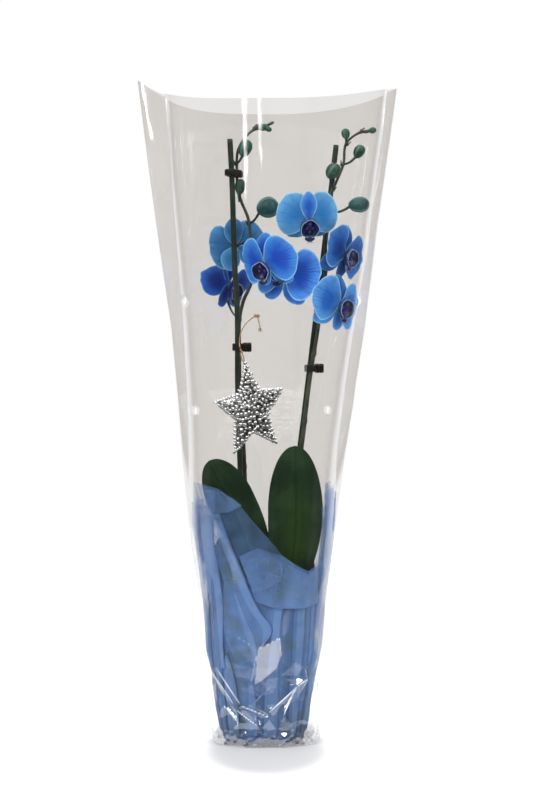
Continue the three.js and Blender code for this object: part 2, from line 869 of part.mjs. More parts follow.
// The dark lip: side lobes that close into a round cup open to the front, a tongue below, and
// the column over it.
function bloomLip(bloom) {
  const frame = bloomFrame(bloom);
  const size = bloom.scale * (bloom.lip ?? 1);
  const sides = 8;
  const cupWall = (inset) => (k, i) => {
    const turn = (-2 * Math.PI * i) / sides;
    const reach = LIP_RADIUS * size * [0.35, 0.9, 1][k] - inset;
    const depth = LIP_BACK + LIP_DEPTH * [0, 0.3, 1][k] + (k === 0 ? inset : 0);
    const open = k === 2 ? 2.2 * Math.cos(turn) : 0;
    return inFrame(frame, reach * Math.sin(turn), reach * Math.cos(turn) - LIP_LOW, depth - open);
  };
  const shell = cup(3, sides, cupWall(0), cupWall(LIP_WALL));
  const tongue = (u, v) => {
    const narrow = 1 - 0.6 * u * u;
    const low = LIP_LOW + LIP_RADIUS * size - 2.4 + 5.5 * u;
    return inFrame(frame, v * 4.2 * narrow, -low, 10 + 8 * u - 5 * u * u);
  };
  const { plan, triangles, edge } = rowPlan(2, 2);
  const lobe = blade(plan, triangles, edge, tongue, 1.3);
  const column = pod(inFrame(frame, 0, 0.4, 7), frame.face, 9, 5, 0);
  return toGeometry(fuse([toSolid(shell), toSolid(lobe), toSolid(column)]));
}

// Buds: centre, long axis, length and width, and the height on the stem where the pedicel starts
const LEFT_BUDS = [
  { at: [1.2, 2, 586], axis: [1, 0, 0.25], size: [25, 23.5], from: 568 },
  { at: [-29, 1.5, 608.6], axis: [0.1, 0, 1], size: [17.5, 12], from: 595 },
  { at: [-23.4, -3, 650.5], axis: [0.35, 0, 1], size: [20, 15.5], from: 634 },
  { at: [-3.4, 0, 674], axis: [1, 0, 0.1], size: [13, 8], from: 672 },
  { at: [1.6, -1.5, 672], axis: [1, -0.4, -0.5], size: [9, 6], from: 673 },
  { at: [5.2, 0.5, 678.4], axis: [1, 0, 0.5], size: [7, 3.6], from: 674 },
];
const RIGHT_BUDS = [
  { at: [101.5, -3, 588.6], axis: [1, 0, 0.06], size: [23.5, 17.5], from: 581 },
  { at: [73, -8.5, 624.8], axis: [0.6, -0.2, 0.8], size: [19, 16.5], from: 606 },
  { at: [101.8, -1, 647], axis: [0.55, 0, 1], size: [16, 12.6], from: 633 },
  { at: [87.2, -1, 666.6], axis: [-0.15, 0, 1], size: [12, 9.6], from: 656 },
  { at: [116.4, 0, 670.6], axis: [1, 0, 0.15], size: [9, 7], from: 669 },
];

function pedicel(spots, steps) {
  const points = spots.map((p) => [p.x, p.y, p.z]);
  return rod(points, () => PEDICEL_RADIUS, 5, steps);
}

function flowerSpike(stem, buds, blooms) {
  const radiusAt = (share) => STEM_RADIUS + (STEM_TIP_RADIUS - STEM_RADIUS) * share ** 1.6;
  const solids = [toSolid(rod(stem, radiusAt, 6, STEM_STEPS))];
  for (const { at, axis, size, from } of buds) {
    const centre = vector(at);
    const way = vector(axis).normalize();
    const start = stemAt(stem, from);
    const end = centre.clone().addScaledVector(way, -size[0] * 0.3);
    const middle = start.clone().lerp(end, 0.5);
    middle.z -= 0.12 * start.distanceTo(end);
    solids.push(toSolid(pedicel([start, middle, end], 3)));
    solids.push(toSolid(pod(centre, way, size[0], size[1], size[0] > 14 ? 1 : 0)));
  }
  for (const bloom of blooms) {
    const frame = bloomFrame(bloom);
    const end = inFrame(frame, 0, 0, HUB_BACK - GAP - 0.3);
    const behind = inFrame(frame, 0, 0, HUB_BACK - 7);
    const start = stemAt(stem, bloom.from);
    const spots = bloom.by ? [start, vector(bloom.by), behind, end] : [start, behind, end];
    solids.push(toSolid(pedicel(spots, bloom.by ? 7 : 5)));
  }
  return toGeometry(fuse(solids));
}

// Clips: an oval band round the stake and the stem, with finger tabs to one side

function clip(stake, stem, height, tabs) {
  const [a, b] = [stemAt(stake, height), stemAt(stem, height)];
  const middle = a.clone().lerp(b, 0.5);
  const way = b.clone().sub(a);
  const half = way.length() / 2;
  const oval = (radius) => {
    const path = new THREE.Path();
    path.absarc(half, 0, radius, -Math.PI / 2, Math.PI / 2);
    path.absarc(-half, 0, radius, Math.PI / 2, (3 * Math.PI) / 2);
    path.closePath();
    return path.getPoints(4);
  };
  const inside = STAKE_RADIUS + 0.7;
  const band = new THREE.Shape(oval(inside + CLIP_WALL));
  band.holes.push(new THREE.Path(oval(inside)));
  const ring = new THREE.ExtrudeGeometry(band, { depth: CLIP_HEIGHT, bevelEnabled: false });
  ring.translate(0, 0, -CLIP_HEIGHT / 2);
  const solids = [toSolid(ring)];
  for (const [x, y, turn, length] of tabs) {
    const tab = new THREE.BoxGeometry(length, 6.4, 7);
    tab.translate(length / 2, 0, 0);
    tab.rotateZ(radians(turn));
    tab.translate(x * (half + inside + CLIP_WALL * 0.5), y * (inside + CLIP_WALL * 0.5), 0);
    solids.push(toSolid(tab));
  }
  const geometry = toGeometry(fuse(solids));
  geometry.rotateZ(Math.atan2(way.y, way.x));
  geometry.translate(middle.x, middle.y, middle.z);
  return geometry;
}

// The star: silver beads in many sizes on a star-shaped core

const STAR = { at: [-17, -3.6, 363], turn: 41, lean: -8.7 };

function starOutline(tip, notch) {
  const points = [];
  for (let i = 0; i < 10; i += 1) {
    const turn = (Math.PI * i) / 5;
    const reach = i % 2 ? notch : tip;
    points.push(new THREE.Vector2(Math.sin(turn) * reach, Math.cos(turn) * reach));
  }
  return points;
}

function insideStar(x, y, tip, notch) {
  const outline = starOutline(tip, notch);
  let inside = false;
  for (let i = 0, j = outline.length - 1; i < outline.length; j = i, i += 1) {
    const [a, b] = [outline[i], outline[j]];
    const crosses = a.y > y !== b.y > y && x < ((b.x - a.x) * (y - a.y)) / (b.y - a.y) + a.x;
    if (crosses) inside = !inside;
  }
  return inside;
}

function beadStar() {
  const random = seededRandom(5);
  const plate = new THREE.Shape(starOutline(STAR_TIP_RADIUS - 3, STAR_NOTCH_RADIUS - 5));
  const core = new THREE.ExtrudeGeometry(plate, { depth: STAR_CORE, bevelEnabled: false });
  core.translate(0, 0, -STAR_CORE / 2);
  const solids = [toSolid(core)];
  const placed = [];
  for (let i = 0; i < 5; i += 1) {
    const turn = (2 * Math.PI * i) / 5;
    const reach = STAR_TIP_RADIUS - 4.2;
    placed.push([Math.sin(turn) * reach, Math.cos(turn) * reach, BEAD_SMALL]);
  }
  for (let i = 0; i < STAR_TRIES; i += 1) {
    const x = (random() * 2 - 1) * STAR_TIP_RADIUS;
    const y = (random() * 2 - 1) * STAR_TIP_RADIUS;
    const radius = BEAD_SMALL + (BEAD_LARGE - BEAD_SMALL) * random();
    const inside = insideStar(x, y, STAR_TIP_RADIUS - 3, STAR_NOTCH_RADIUS - 2);
    const free = placed.every(([px, py, pr]) => Math.hypot(px - x, py - y) > (pr + radius) * 0.96);
    if (inside && free) placed.push([x, y, radius]);
  }
  for (const [x, y, radius] of placed) {
    const bead = new THREE.IcosahedronGeometry(radius, 0);
    bead.rotateZ(6.3 * random());
    bead.rotateX(6.3 * random());
    bead.translate(x, y, 0);
    solids.push(toSolid(bead));
  }
  const geometry = toGeometry(fuse(solids));
  geometry.rotateX(Math.PI / 2);
  geometry.rotateY(radians(STAR.lean));
  geometry.rotateZ(radians(STAR.turn));
  geometry.translate(...STAR.at);
  return geometry;
}

// The twine: through the star's top, up both sides of the stake, and knotted on the right
const TWINE_ROUTE = [
  [-7, -13, 453],
  [-8.5, -12.5, 460],
  [-10.5, -12, 466],
  [-15, -12.4, 464],
  [-21, -12, 459],
  [-26.6, -11, 451],
  [-29, -11, 444],
  [-29.2, -14.4, 432],
  [-26, -13, 424],
  [-24.6, -13.4, 418],
  [-25.4, -16.6, 415.4],
  [-27, -17, 419],
  [-28.6, -16, 426],
];

function twine() {
  const curve = new THREE.CatmullRomCurve3(TWINE_ROUTE.map(vector), false, "centripetal");
  const section = new THREE.Shape();
  section.absarc(0, 0, TWINE / 2, 0, 2 * Math.PI);
  return new THREE.ExtrudeGeometry(section, { steps: 30, extrudePath: curve, curveSegments: 4 });
}

// The whole object

const orchid = new THREE.Group();

function addPart(name, geometry, color, roughness, metalness = 0) {
  const material = new THREE.MeshStandardMaterial({ color, roughness, metalness });
  const mesh = new THREE.Mesh(geometry, material);
  mesh.name = name;
  orchid.add(mesh);
}

addPart("film_sleeve", filmSleeve(), 0xe6e2de, 0.08);
addPart("nonwoven_wrap", nonwovenWrap(), 0x5f86bd, 0.85);
addPart("nursery_pot", nurseryPot(), 0x9aa39c, 0.4);
addPart("bark_mix", barkMix(), 0x5d4330, 0.95);
addPart("plant_crown", plantCrown(), 0x74865f, 0.6);
for (const [name, leaf] of Object.entries(LEAVES)) {
  addPart(name, leafBlade(leaf), 0x1f3320, 0.45);
}
addPart("stake_left", rod(LEFT_STAKE, () => STAKE_RADIUS, 8, 10), 0x26392d, 0.5);
addPart("stake_right", rod(RIGHT_STAKE, () => STAKE_RADIUS, 8, 8), 0x26392d, 0.5);
const ofSpike = (side) => Object.keys(BLOOMS).filter((name) => name.startsWith(side));
const bloomsOf = (side) => ofSpike(side).map((name) => BLOOMS[name]);
addPart("spike_left", flowerSpike(LEFT_STEM, LEFT_BUDS, bloomsOf("left")), 0x3d5138, 0.5);
addPart("spike_right", flowerSpike(RIGHT_STEM, RIGHT_BUDS, bloomsOf("right")), 0x3d5138, 0.5);
for (const [name, bloom] of Object.entries(BLOOMS)) {
  addPart(`bloom_${name}_petals`, bloomPetals(bloom), 0x2f74c4, 0.55);
  addPart(`bloom_${name}_lip`, bloomLip(bloom), 0x101a3c, 0.4);
}
const wings = [
  [1, 0, 20, 4],
  [-1, 0, 160, 4],
];
addPart("clip_left_top", clip(LEFT_STAKE, LEFT_STEM, 623, wings), 0x161816, 0.4);
addPart("clip_left_low", clip(LEFT_STAKE, LEFT_STEM, 432, [[0, -1, -78, 10]]), 0x161816, 0.4);
addPart("clip_right_low", clip(RIGHT_STAKE, RIGHT_STEM, 409, [[0, 1, 80, 10]]), 0x161816, 0.4);
addPart("bead_star", beadStar(), 0xc4c6c6, 0.2, 1);
addPart("star_twine", twine(), 0x9b8261, 0.9);

export default orchid;
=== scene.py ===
"""Dresses the packed moth orchid: film sleeve, blue wrap, pot, leaves, flower spikes, blooms and star.

The tables below are in millimetres, and put() turns them into metres when it makes a mesh.
The front faces -Y and +Z is up, as in the packed model.
"""

import math

import bmesh
import bpy
import numpy as np
from bpy.props import FloatProperty, FloatVectorProperty, IntProperty, PointerProperty
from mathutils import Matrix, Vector
from mathutils.geometry import delaunay_2d_cdt


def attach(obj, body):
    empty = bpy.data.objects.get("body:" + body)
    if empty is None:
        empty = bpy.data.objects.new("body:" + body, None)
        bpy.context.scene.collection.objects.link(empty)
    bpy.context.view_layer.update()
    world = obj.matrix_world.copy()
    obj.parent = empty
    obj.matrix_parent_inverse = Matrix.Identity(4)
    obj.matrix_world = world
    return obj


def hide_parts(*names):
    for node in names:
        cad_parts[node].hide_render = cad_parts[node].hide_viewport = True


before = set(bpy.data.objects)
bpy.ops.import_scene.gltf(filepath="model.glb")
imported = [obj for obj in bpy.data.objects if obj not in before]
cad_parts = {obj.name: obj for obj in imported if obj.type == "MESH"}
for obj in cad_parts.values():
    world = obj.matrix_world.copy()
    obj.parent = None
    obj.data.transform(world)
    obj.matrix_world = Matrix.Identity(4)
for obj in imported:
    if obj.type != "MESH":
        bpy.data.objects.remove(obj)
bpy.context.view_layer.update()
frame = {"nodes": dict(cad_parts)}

bl_info = {
    "name": "Wrapped Moth Orchid",
    "version": (1, 0, 0),
    "blender": (4, 5, 0),
    "location": "3D View > Sidebar > Orchid",
    "description": "Builds a moth orchid with two blue spikes in a wrapped pot and a film sleeve",
    "category": "Object",
}

MM = 0.001
TAU = 2 * math.pi


def shade(red, green, blue):
    """A colour in linear values from its usual 0 to 255 ones."""
    made = []
    for value in (red, green, blue):
        part = value / 255
        made.append(part / 12.92 if part <= 0.04045 else ((part + 0.055) / 1.055) ** 2.4)
    return (*made, 1.0)


def size(name, text, default, **limits):
    """A length in millimetres for the panel."""
    return FloatProperty(name=name, description=text, default=default, min=0.0, **limits)


def share(name, text, default):
    """A share from 0 to 1 for the panel."""
    return FloatProperty(
        name=name, description=text, default=default, min=0.0, max=1.0, subtype="FACTOR"
    )


def paint(name, text, default):
    """A colour for the panel."""
    return FloatVectorProperty(
        name=name, description=text, default=default, size=4, min=0.0, max=1.0, subtype="COLOR"
    )


# Tables


# height, half width to the left, half width to the right, half depth
SLEEVE_STATIONS = np.array([
    [0, 55, 54, 53], [10, 59, 56, 57], [48, 61, 54.5, 56], [112, 70, 62, 66], [160, 73, 66, 70],
    [209, 82.5, 72, 71.5], [319, 92.4, 87, 72], [450, 104.5, 108, 72], [560, 121, 122, 70],
    [697, 141.5, 143.5, 67],
])
SLEEVE_MIDDLE = 697
SLEEVE_CORNERS = (726, 717)
# height, where the fin of film begins on the left and on the right, as a share of the half width
SLEEVE_FINS = np.array([
    [190, 1.0, 1.0], [286, 0.93, 0.9], [352, 0.9, 0.885], [440, 0.875, 0.89], [528, 0.845, 0.93],
    [697, 0.79, 0.925],
])
AIR_HOLES = [(-89, 482), (-77.5, 362), (67, 363), (101, 483)]
AIR_HOLE = (2.8, 4.8)
# Millimetres of film to a radian near the foot, and rings of film tucked under the pot
FILM_GIRTH = 57.0
FOOT_STEPS = 12
# Bands of facets up the sleeve: height, facet width, how far they stand out
FILM_CRUMPLE = [
    (0, 9, 5.0), (9, 11, 5.0), (19, 12, 4.5), (30, 13, 4.5), (43, 14, 4.2), (57, 16, 4.2),
    (73, 18, 4.0), (92, 21, 5.0), (115, 25, 5.5), (143, 29, 5.0), (178, 33, 3.8), (225, 38, 1.8),
    (290, 42, 1.4), (380, 48, 1.2), (490, 55, 1.2), (600, 60, 1.2), (700, 60, 1.0),
]
# Sharp folds of the film low on the front: from and to, left and right of the middle and height
FILM_FOLDS = [
    ((-51.4, 86.8), (-26.8, 48.2)), ((-55.7, 82.5), (-33.2, 47.2)), ((-23.6, 45.0), (2.8, 33.2)),
    ((-41.8, 43.3), (-27.2, 26.3)), ((-29.3, 40.7), (-8.6, 24.1)), ((3.2, 39.7), (29.5, 65.4)),
    ((17.1, 36.4), (28.9, 63.4)), ((31.0, 66.4), (40.4, 72.6)),
]
# Fine curled lines in the film on the front, whitened and drawn as painted highlights: x and height along
# each
FILM_CURLS = [
    [(-38.8, 120), (-30, 119), (-21, 114), (-14, 109), (-11.5, 104.5), (-13, 90), (-16.7, 71.3)],
    [(-13.9, 47.5), (-6, 56), (2.8, 64.3), (12, 67.4), (24.1, 67.8), (38.4, 71.3)],
    [(-46, 42), (-36, 36), (-31, 27), (-34, 19)],
    [(-9.9, 108.3), (2, 113), (13.9, 119), (15, 110), (16.1, 100.8)],
]
# A patch of painted lamp reflection on the front of the film: x and height of its corners
FILM_LAMP_GLARE = [(-9.9, 108.3), (13.9, 119), (16.1, 100.8), (11.8, 86.8), (-2.5, 74), (-12.9, 67.5)]
# Painted highlight streaks, along lines where the film would catch the light: x and height of their low
# and their top end, width at the top, on the front or the back, strength
FILM_HIGHLIGHT_STREAKS = [
    (-22, 545, -23.5, 740, 4.8, True, 0.88),
    (-6, 585, -7.5, 740, 4.2, True, 0.84),
    (-21, 470, -21, 700, 6.0, False, 0.35),
    (108.5, 455, 111.5, 575, 1.6, True, 0.62),
    (113, 544, 122, 640, 1.4, True, 0.5),
    (124, 640, 130.5, 706, 3.0, True, 0.72),
    (-104, 400, -104, 560, 2.4, True, 0.4),
    (-88, 560, -90, 690, 4.5, True, 0.3),
    (-62, 128, -69, 205, 4.0, True, 0.6),
    (50, 92, 56, 128, 3.0, True, 0.5),
    (60, 150, 66, 232, 4.0, True, 0.5),
]

WRAP_STATIONS = np.array([
    [3, 47, 41, 44.5], [22, 50, 42.5, 46.5], [66, 56, 49, 52.8], [104, 63, 56, 59.8],
    [154, 66.5, 59.5, 62.5], [198, 72, 66, 63], [240, 78, 71, 63.5], [290, 78, 73, 63.5],
])
WRAP_FOOT = 3.0
# Millimetres of cloth to a radian
WRAP_GIRTH = 62.0
# bearing in degrees from +X towards +Y, height of the cut edge
WRAP_EDGE = np.array([
    [0, 283], [20, 268], [40, 244], [60, 224], [90, 212], [120, 226], [160, 268], [180, 286],
    [205, 283], [230, 275], [245, 267], [270, 228], [284, 208], [307, 188], [318, 189], [323, 204],
    [327, 250], [330, 282], [336, 286], [350, 277], [360, 283],
])
# The turned-down flap in front, from its top to its hem: x, height, stand-off
FLAP = [
    [(-27, 206.7, 1.4), (-8.6, 215.7, 1.5), (16, 207, 1.4), (42.5, 189.5, 1.4), (60, 199, 1.4)],
    [(-22, 191, 1.9), (-5, 189, 2.1), (15, 181, 2.3), (40, 171, 2.8), (60, 180, 2.3)],
    [(-11, 158.4, 3.0), (1, 154, 3.4), (14, 150.6, 3.7), (36.5, 149.8, 3.6), (57.5, 156, 2.9)],
]
# Where the flap lies double: x, height, stand-off
FLAP_CORNER = [
    [(-28, 206.4, 2.3), (-10, 215.2, 2.4), (16, 202.4, 2.3)],
    [(-22, 190, 2.8), (-4, 190, 3.0), (16, 190, 2.7)], [(-13, 169, 2.9), (0, 172, 3.1), (14, 180, 2.8)],
]
# The top corner on the left, turned over: x, height, stand-off
TOP_CORNER = [
    [(-72.5, 284, 2.2), (-62, 282, 2.4), (-50, 279, 2.4), (-37, 270, 2.2), (-26, 261.5, 2.0)],
    [(-69, 271, 2.6), (-59.5, 268, 3.0), (-49.5, 265, 3.0), (-37, 262, 2.7), (-26, 261, 2.2)],
    [(-66, 258.5, 2.6), (-57, 254.5, 3.2), (-49, 251.5, 3.2), (-37, 254, 2.9), (-26, 260.5, 2.2)],
]
# Folded pleats on the front: their stand-off, the share of their width painted as lit, how dark the painted
# shade along their right border is, then the left and the right edge as x and height from the top down
PLEATS = [
    (0.5, 0.25, 0.4, [(-44, 178), (-45, 154), (-43, 119), (-25, 83), (-19, 68)],
     [(-34, 181), (-22, 150), (-10, 112), (-8, 92), (-14, 68)]),
    (1.9, 0.42, 0.9, [(-61, 250), (-57, 221), (-52, 200), (-42, 178), (-31, 152), (-16, 122), (-8, 107)],
     [(-48, 252), (-37.3, 221.7), (-27, 196), (-12.5, 159), (-1, 139), (6.4, 129), (-4, 108)]),
    (0.8, 1.2, 0.8, [(-74.5, 262), (-74.5, 242), (-66, 190), (-59, 160), (-52, 116), (-47, 84)],
     [(-55, 258), (-54, 222), (-51, 198), (-47, 176), (-44, 150), (-45, 112), (-41, 84)]),
    (0.6, 1.2, 0.4, [(8.6, 157), (4, 112), (-2, 50), (-3, 10)], [(17, 157), (13, 112), (12, 50), (11, 10)]),
    (0.6, 0.7, 0.6, [(28.7, 156), (27, 110), (24, 64), (22, 12)],
     [(39.7, 156), (38, 110), (34, 64), (30, 12)]),
    (0.6, 1.2, 0.5, [(47, 160), (44, 112), (42, 70), (37, 20)], [(56, 158), (53, 112), (50, 70), (43, 20)]),
    (0.6, 1.2, 0.6, [(-43, 98), (-43, 70), (-41, 44), (-39, 12)],
     [(-39, 99), (-31, 70), (-29, 44), (-28, 12)]),
    (0.6, 0.8, 0.4, [(-18, 70), (-20, 44), (-20, 12)], [(-14, 72), (-10, 44), (-9, 12)]),
    (1.6, 1.2, 0.3, [(62, 286), (61, 240), (58, 205), (56, 172)],
     [(72, 272), (70, 236), (65, 205), (60, 172)]),
]
BACK_PLEATS = [2, 22, 48, 78, 104, 131, 157, 180, 196, 212, 329, 344]

POT_CENTRE = -4
# radius and height of the pot's profile, up the outside and down the inside
POT_PROFILE = [
    (0, 4.6), (38, 4.6), (41.0, 4.9), (41.9, 6.2), (53.4, 98.8), (53.9, 99.7), (54.9, 100.4),
    (55.0, 108.9), (55.7, 109.3), (55.8, 110.2), (55.2, 110.6), (54.0, 110.5), (53.8, 101.0),
    (52.6, 99.9), (40.4, 6.2), (38, 5.8), (0, 5.8),
]
POT_DRAINS = 4
POT_SIDES = 96
BARK_TOP = 94
# How far the pot's inside widens for each millimetre of height, and its radius at its floor
POT_SLOPE = (53.8 - 41.5) / 95
POT_INSIDE = 40.3
# The turn from one chip of bark to the next, which spreads them evenly
EVEN_TURN = 2.39996
CROWN_TOP = 121
# bearing, reach and height of the crest of each root
ROOTS = [(222, 36, 103), (268, 31, 102), (318, 38, 103), (76, 34, 102)]

# The way across a leaf, its width, where it is widest, how deeply it is folded, and its middle line
LEAVES = {
    "leaf_front_right": ((1, 0.28, 0.06), 62, 0.68, 0.1, [
        (3.2, -9, 112), (11, -22, 142), (25, -38, 186), (31.5, -45, 236), (31.5, -47, 284),
        (30.6, -47, 324.5),
    ]),
    "leaf_front_left": ((0.86, -0.45, 0.24), 58, 0.76, 0.12, [
        (-9, -8.8, 112), (-8.5, -18, 142), (-10.5, -26, 180), (-21.5, -32, 223), (-40.5, -35, 266),
        (-62.5, -29, 308),
    ]),
    "leaf_back_right": ((-0.45, 0.9, 0), 42, 0.6, 0.14, [
        (7.4, 1.8, 100.5), (20, 5.6, 106), (36, 12, 128), (45, 18, 160), (47, 22, 190), (45, 25, 210),
    ]),
    "leaf_back_left": ((-0.5, -0.86, 0), 44, 0.6, 0.14, [
        (-15, 6.4, 99), (-26, 14, 107), (-40, 22, 130), (-50, 26, 164), (-53, 26, 200), (-51, 25, 222),
    ]),
}

STAKES = {
    "stake_left": [
        (-18.6, -1.5, 62), (-22, -3, 154), (-28.4, -5, 285), (-31.7, -6, 395), (-32, -6.5, 468),
        (-35, -7, 524), (-38, -7.5, 616), (-40.2, -8, 660),
    ],
    "stake_right": [
        (5.8, 14, 62), (11.6, 13.5, 110), (37.2, 9.5, 324), (52.6, 7.5, 450), (63.4, 7, 540),
        (76.8, 6, 655),
    ],
}
STEMS = {
    "spike_left": [
        (-15.4, 0, 106), (-17, 3, 154), (-20, 3, 220), (-23.8, 2.6, 285), (-25.4, 2.6, 323),
        (-29.6, 3, 395), (-30, 2.4, 432), (-29.8, 3, 462), (-25.8, 5, 482), (-17, 8, 503),
        (-14, 9, 518), (-17, 9, 542), (-19.6, 9, 572), (-31, 5.5, 602), (-32.6, 2, 625),
        (-31.6, 2, 648), (-25.6, 0.5, 660), (-15.4, 0, 670.5), (-7, 0, 674.5), (1.6, 0, 677),
    ],
    "spike_right": [
        (7.4, 0, 112), (10, 1, 142), (19.5, 2.5, 210), (30, 2, 270), (38.8, 1.6, 324), (47.4, 0, 395),
        (56.2, -1, 450), (61, -1.6, 486), (65, -2, 514), (65, -2, 549), (69.8, -1.4, 598),
        (77.2, -1, 615), (84.6, 0, 634), (87.6, 0, 656), (101, 0, 667.5), (113, 0, 670.5),
    ],
}
# Heights of the bare nodes of each stem, which carry a dry bract
STEM_NODES = {"spike_left": [196, 300, 372], "spike_right": [226, 350, 424]}
# centre, long axis, length and width, height on the stem where the pedicel starts
BUDS = {
    "spike_left": [
        ((1.2, 2, 586), (1, 0, 0.25), (25, 23.5), 568),
        ((-29, 1.5, 608.6), (0.1, 0, 1), (17.5, 12), 595),
        ((-23.4, -3, 650.5), (0.35, 0, 1), (20, 15.5), 634),
        ((-3.4, 0, 674), (1, 0, 0.1), (13, 8), 672), ((1.6, -1.5, 672), (1, -0.4, -0.5), (9, 6), 673),
        ((5.2, 0.5, 678.4), (1, 0, 0.5), (7, 3.6), 674),
    ],
    "spike_right": [
        ((101.5, -3, 588.6), (1, 0, 0.06), (23.5, 17.5), 581),
        ((73, -8.5, 624.8), (0.6, -0.2, 0.8), (19, 16.5), 606),
        ((101.8, -1, 647), (0.55, 0, 1), (16, 12.6), 633),
        ((87.2, -1, 666.6), (-0.15, 0, 1), (12, 9.6), 656),
        ((116.4, 0, 670.6), (1, 0, 0.15), (9, 7), 669),
    ],
}

# Where the petals meet, which way the face looks (turn to the right, nod down, roll), how far each
# petal sweeps back (right, left, top, low right, low left), the height on the stem where the
# pedicel starts, and the petals' deep, open and rim colours. raised is how many degrees higher the
# two petals stand, slender makes the two petals narrower, and lip makes the lip smaller. crest changes
# the form of the top sepal, and crest_paints its deep and open colours. The pedicel passes by.
BLOOMS = {
    "right_top": {
        "at": (45.6, -33, 569), "face": (8, 30, 4), "sweeps": (20, 20, 6, 12, 12),
        "crest": {"width": 18, "back": 2.8}, "crest_paints": (shade(6, 70, 168), shade(26, 112, 196)),
        "scale": 0.95, "raised": 14, "from": 558,
        "paints": (shade(34, 110, 178), shade(76, 144, 194), shade(160, 210, 228)),
    },
    "right_middle": {
        "at": (86, -8, 535), "face": (52, 8, -18), "sweeps": (-2, -4, 7, 12, 12), "scale": 0.93,
        "from": 516, "paints": (shade(6, 48, 126), shade(18, 88, 170), shade(128, 182, 216)),
    },
    "right_low": {
        "at": (80.5, -18, 479), "face": (44, 6, -14), "sweeps": (10, 10, 15, 15, 15), "scale": 0.96,
        "from": 462, "paints": (shade(16, 80, 166), shade(64, 134, 202), shade(146, 198, 226)),
    },
    "left_front": {
        "at": (-2, -33, 521.5), "face": (-30, 20, 4), "sweeps": (18, 18, 20, 4, 11), "scale": 0.95,
        "raised": 6, "from": 506,
        "paints": (shade(2, 58, 168), shade(10, 112, 200), shade(138, 194, 226)),
    },
    "left_back": {
        "at": (-35, 34, 545), "face": (-160, 6, -12), "sweeps": (12, 12, 16, 5, 5), "scale": 0.92,
        "lip": 0.8, "from": 552,
        "paints": (shade(16, 70, 122), shade(42, 110, 172), shade(126, 180, 206)),
    },
    "left_right": {
        "at": (20.5, -11, 513), "face": (-28, -12, -12), "sweeps": (6, 12, 41, 12, 12), "scale": 1.07,
        "lip": 0.8, "from": 545, "by": (2, 30, 528),
        "paints": (shade(8, 62, 170), shade(34, 116, 216), shade(150, 204, 228)),
    },
    # left_low's darker paints are painted shade: the bloom is shaded and partly hidden low at the back.
    "left_low": {
        "at": (-41, 34, 502.5), "face": (55, 20, 2), "sweeps": (-8, 36, 20, -20, -20), "scale": 0.88,
        "slender": 0.74, "from": 462, "by": (-41, 49, 478),
        "paints": (shade(4, 26, 104), shade(12, 68, 168), shade(104, 160, 206)),
    },
}
HUB_BACK = -3.6
LIP_RADIUS = 12.2
LIP_DEPTH = 10
LIP_BACK = 3.6
LIP_LOW = 5
# Bumps in the throat: right of, above and in front of the hub, and width
LIP_BUMPS = [(-3.4, -5.4, 7.4, 4.0), (3.4, -5.6, 7.6, 4.0), (0, -9.6, 8.6, 3.8), (0, -3.4, 6.2, 2.8)]

# stake, stem, height, tabs as the side they start on, their turn and length
CLIPS = {
    "clip_left_top": ("stake_left", "spike_left", 623, [(1, 0, 20, 4), (-1, 0, 160, 4)]),
    "clip_left_low": ("stake_left", "spike_left", 432, [(0, -1, -78, 10)]),
    "clip_right_low": ("stake_right", "spike_right", 409, [(0, 1, 80, 10)]),
}

STAR_AT = (-17, -3.6, 363)
STAR_TURN = 41
STAR_LEAN = -8.7
STAR_TIP = 54
STAR_NOTCH = 26
# Rounds of beads on a side: how many tries, smallest and largest radius, how deep they may lie
BEAD_ROUNDS = [(420, 2.4, 2.8, 0.1), (2600, 1.9, 2.4, 0.4), (3400, 1.4, 1.8, 0.9)]
TWINE_ROUTE = [
    (-7, -13, 453), (-8.5, -12.5, 460), (-10.5, -12, 466), (-15, -12.4, 464), (-21, -12, 459),
    (-26.6, -11, 451), (-29, -11, 444), (-29.2, -14.4, 432), (-26, -13, 424), (-24.6, -13.4, 418),
    (-25.4, -16.6, 415.4), (-27, -17, 419), (-28.6, -16, 426),
]


# Lines, grids and meshes


def unit(vector):
    """The vector at length 1."""
    vector = np.asarray(vector, float)
    return vector / np.linalg.norm(vector)


def ease(low, high, value):
    """0 below low, 1 above high, and smooth between them."""
    at = np.clip((np.asarray(value, float) - low) / (high - low), 0, 1)
    return at * at * (3 - 2 * at)


def read(table, at):
    """The columns of a table at a height or bearing, joined by straight lines."""
    return [np.interp(at, table[:, 0], table[:, k]) for k in range(1, table.shape[1])]


def headings_of(places):
    """The way a line goes at each of its places."""
    ways = np.gradient(places, axis=0)
    return ways / np.linalg.norm(ways, axis=1)[:, None]


def on_line(at, known, line):
    """The places of a line where a rising row of known values reads as asked."""
    return np.stack([np.interp(at, known, line[:, k]) for k in range(3)], axis=-1)


def smooth_line(points, count):
    """count places at even steps along a smooth line through the points."""
    known = np.array(points, float)
    known = np.vstack([2 * known[0] - known[1], known, 2 * known[-1] - known[-2]])
    step = np.linspace(0, 1, 41)[:, None]
    runs = []
    for k in range(1, len(known) - 2):
        a, b, c, d = known[k - 1 : k + 3]
        g, h, i = (np.linalg.norm(q - p) ** 0.5 for p, q in ((a, b), (b, c), (c, d)))
        leave = ((b - a) / g - (c - a) / (g + h) + (c - b) / h) * h
        reach = ((c - b) / h - (d - b) / (h + i) + (d - c) / i) * h
        bend = 3 * (c - b) - 2 * leave - reach
        twist = 2 * (b - c) + leave + reach
        runs.append(b + leave * step + bend * step**2 + twist * step**3)
    fine = np.vstack([run[:-1] for run in runs] + [runs[-1][-1:]])
    far = np.concatenate([[0], np.cumsum(np.linalg.norm(np.diff(fine, axis=0), axis=1))])
    return on_line(np.linspace(0, far[-1], count), far, fine)


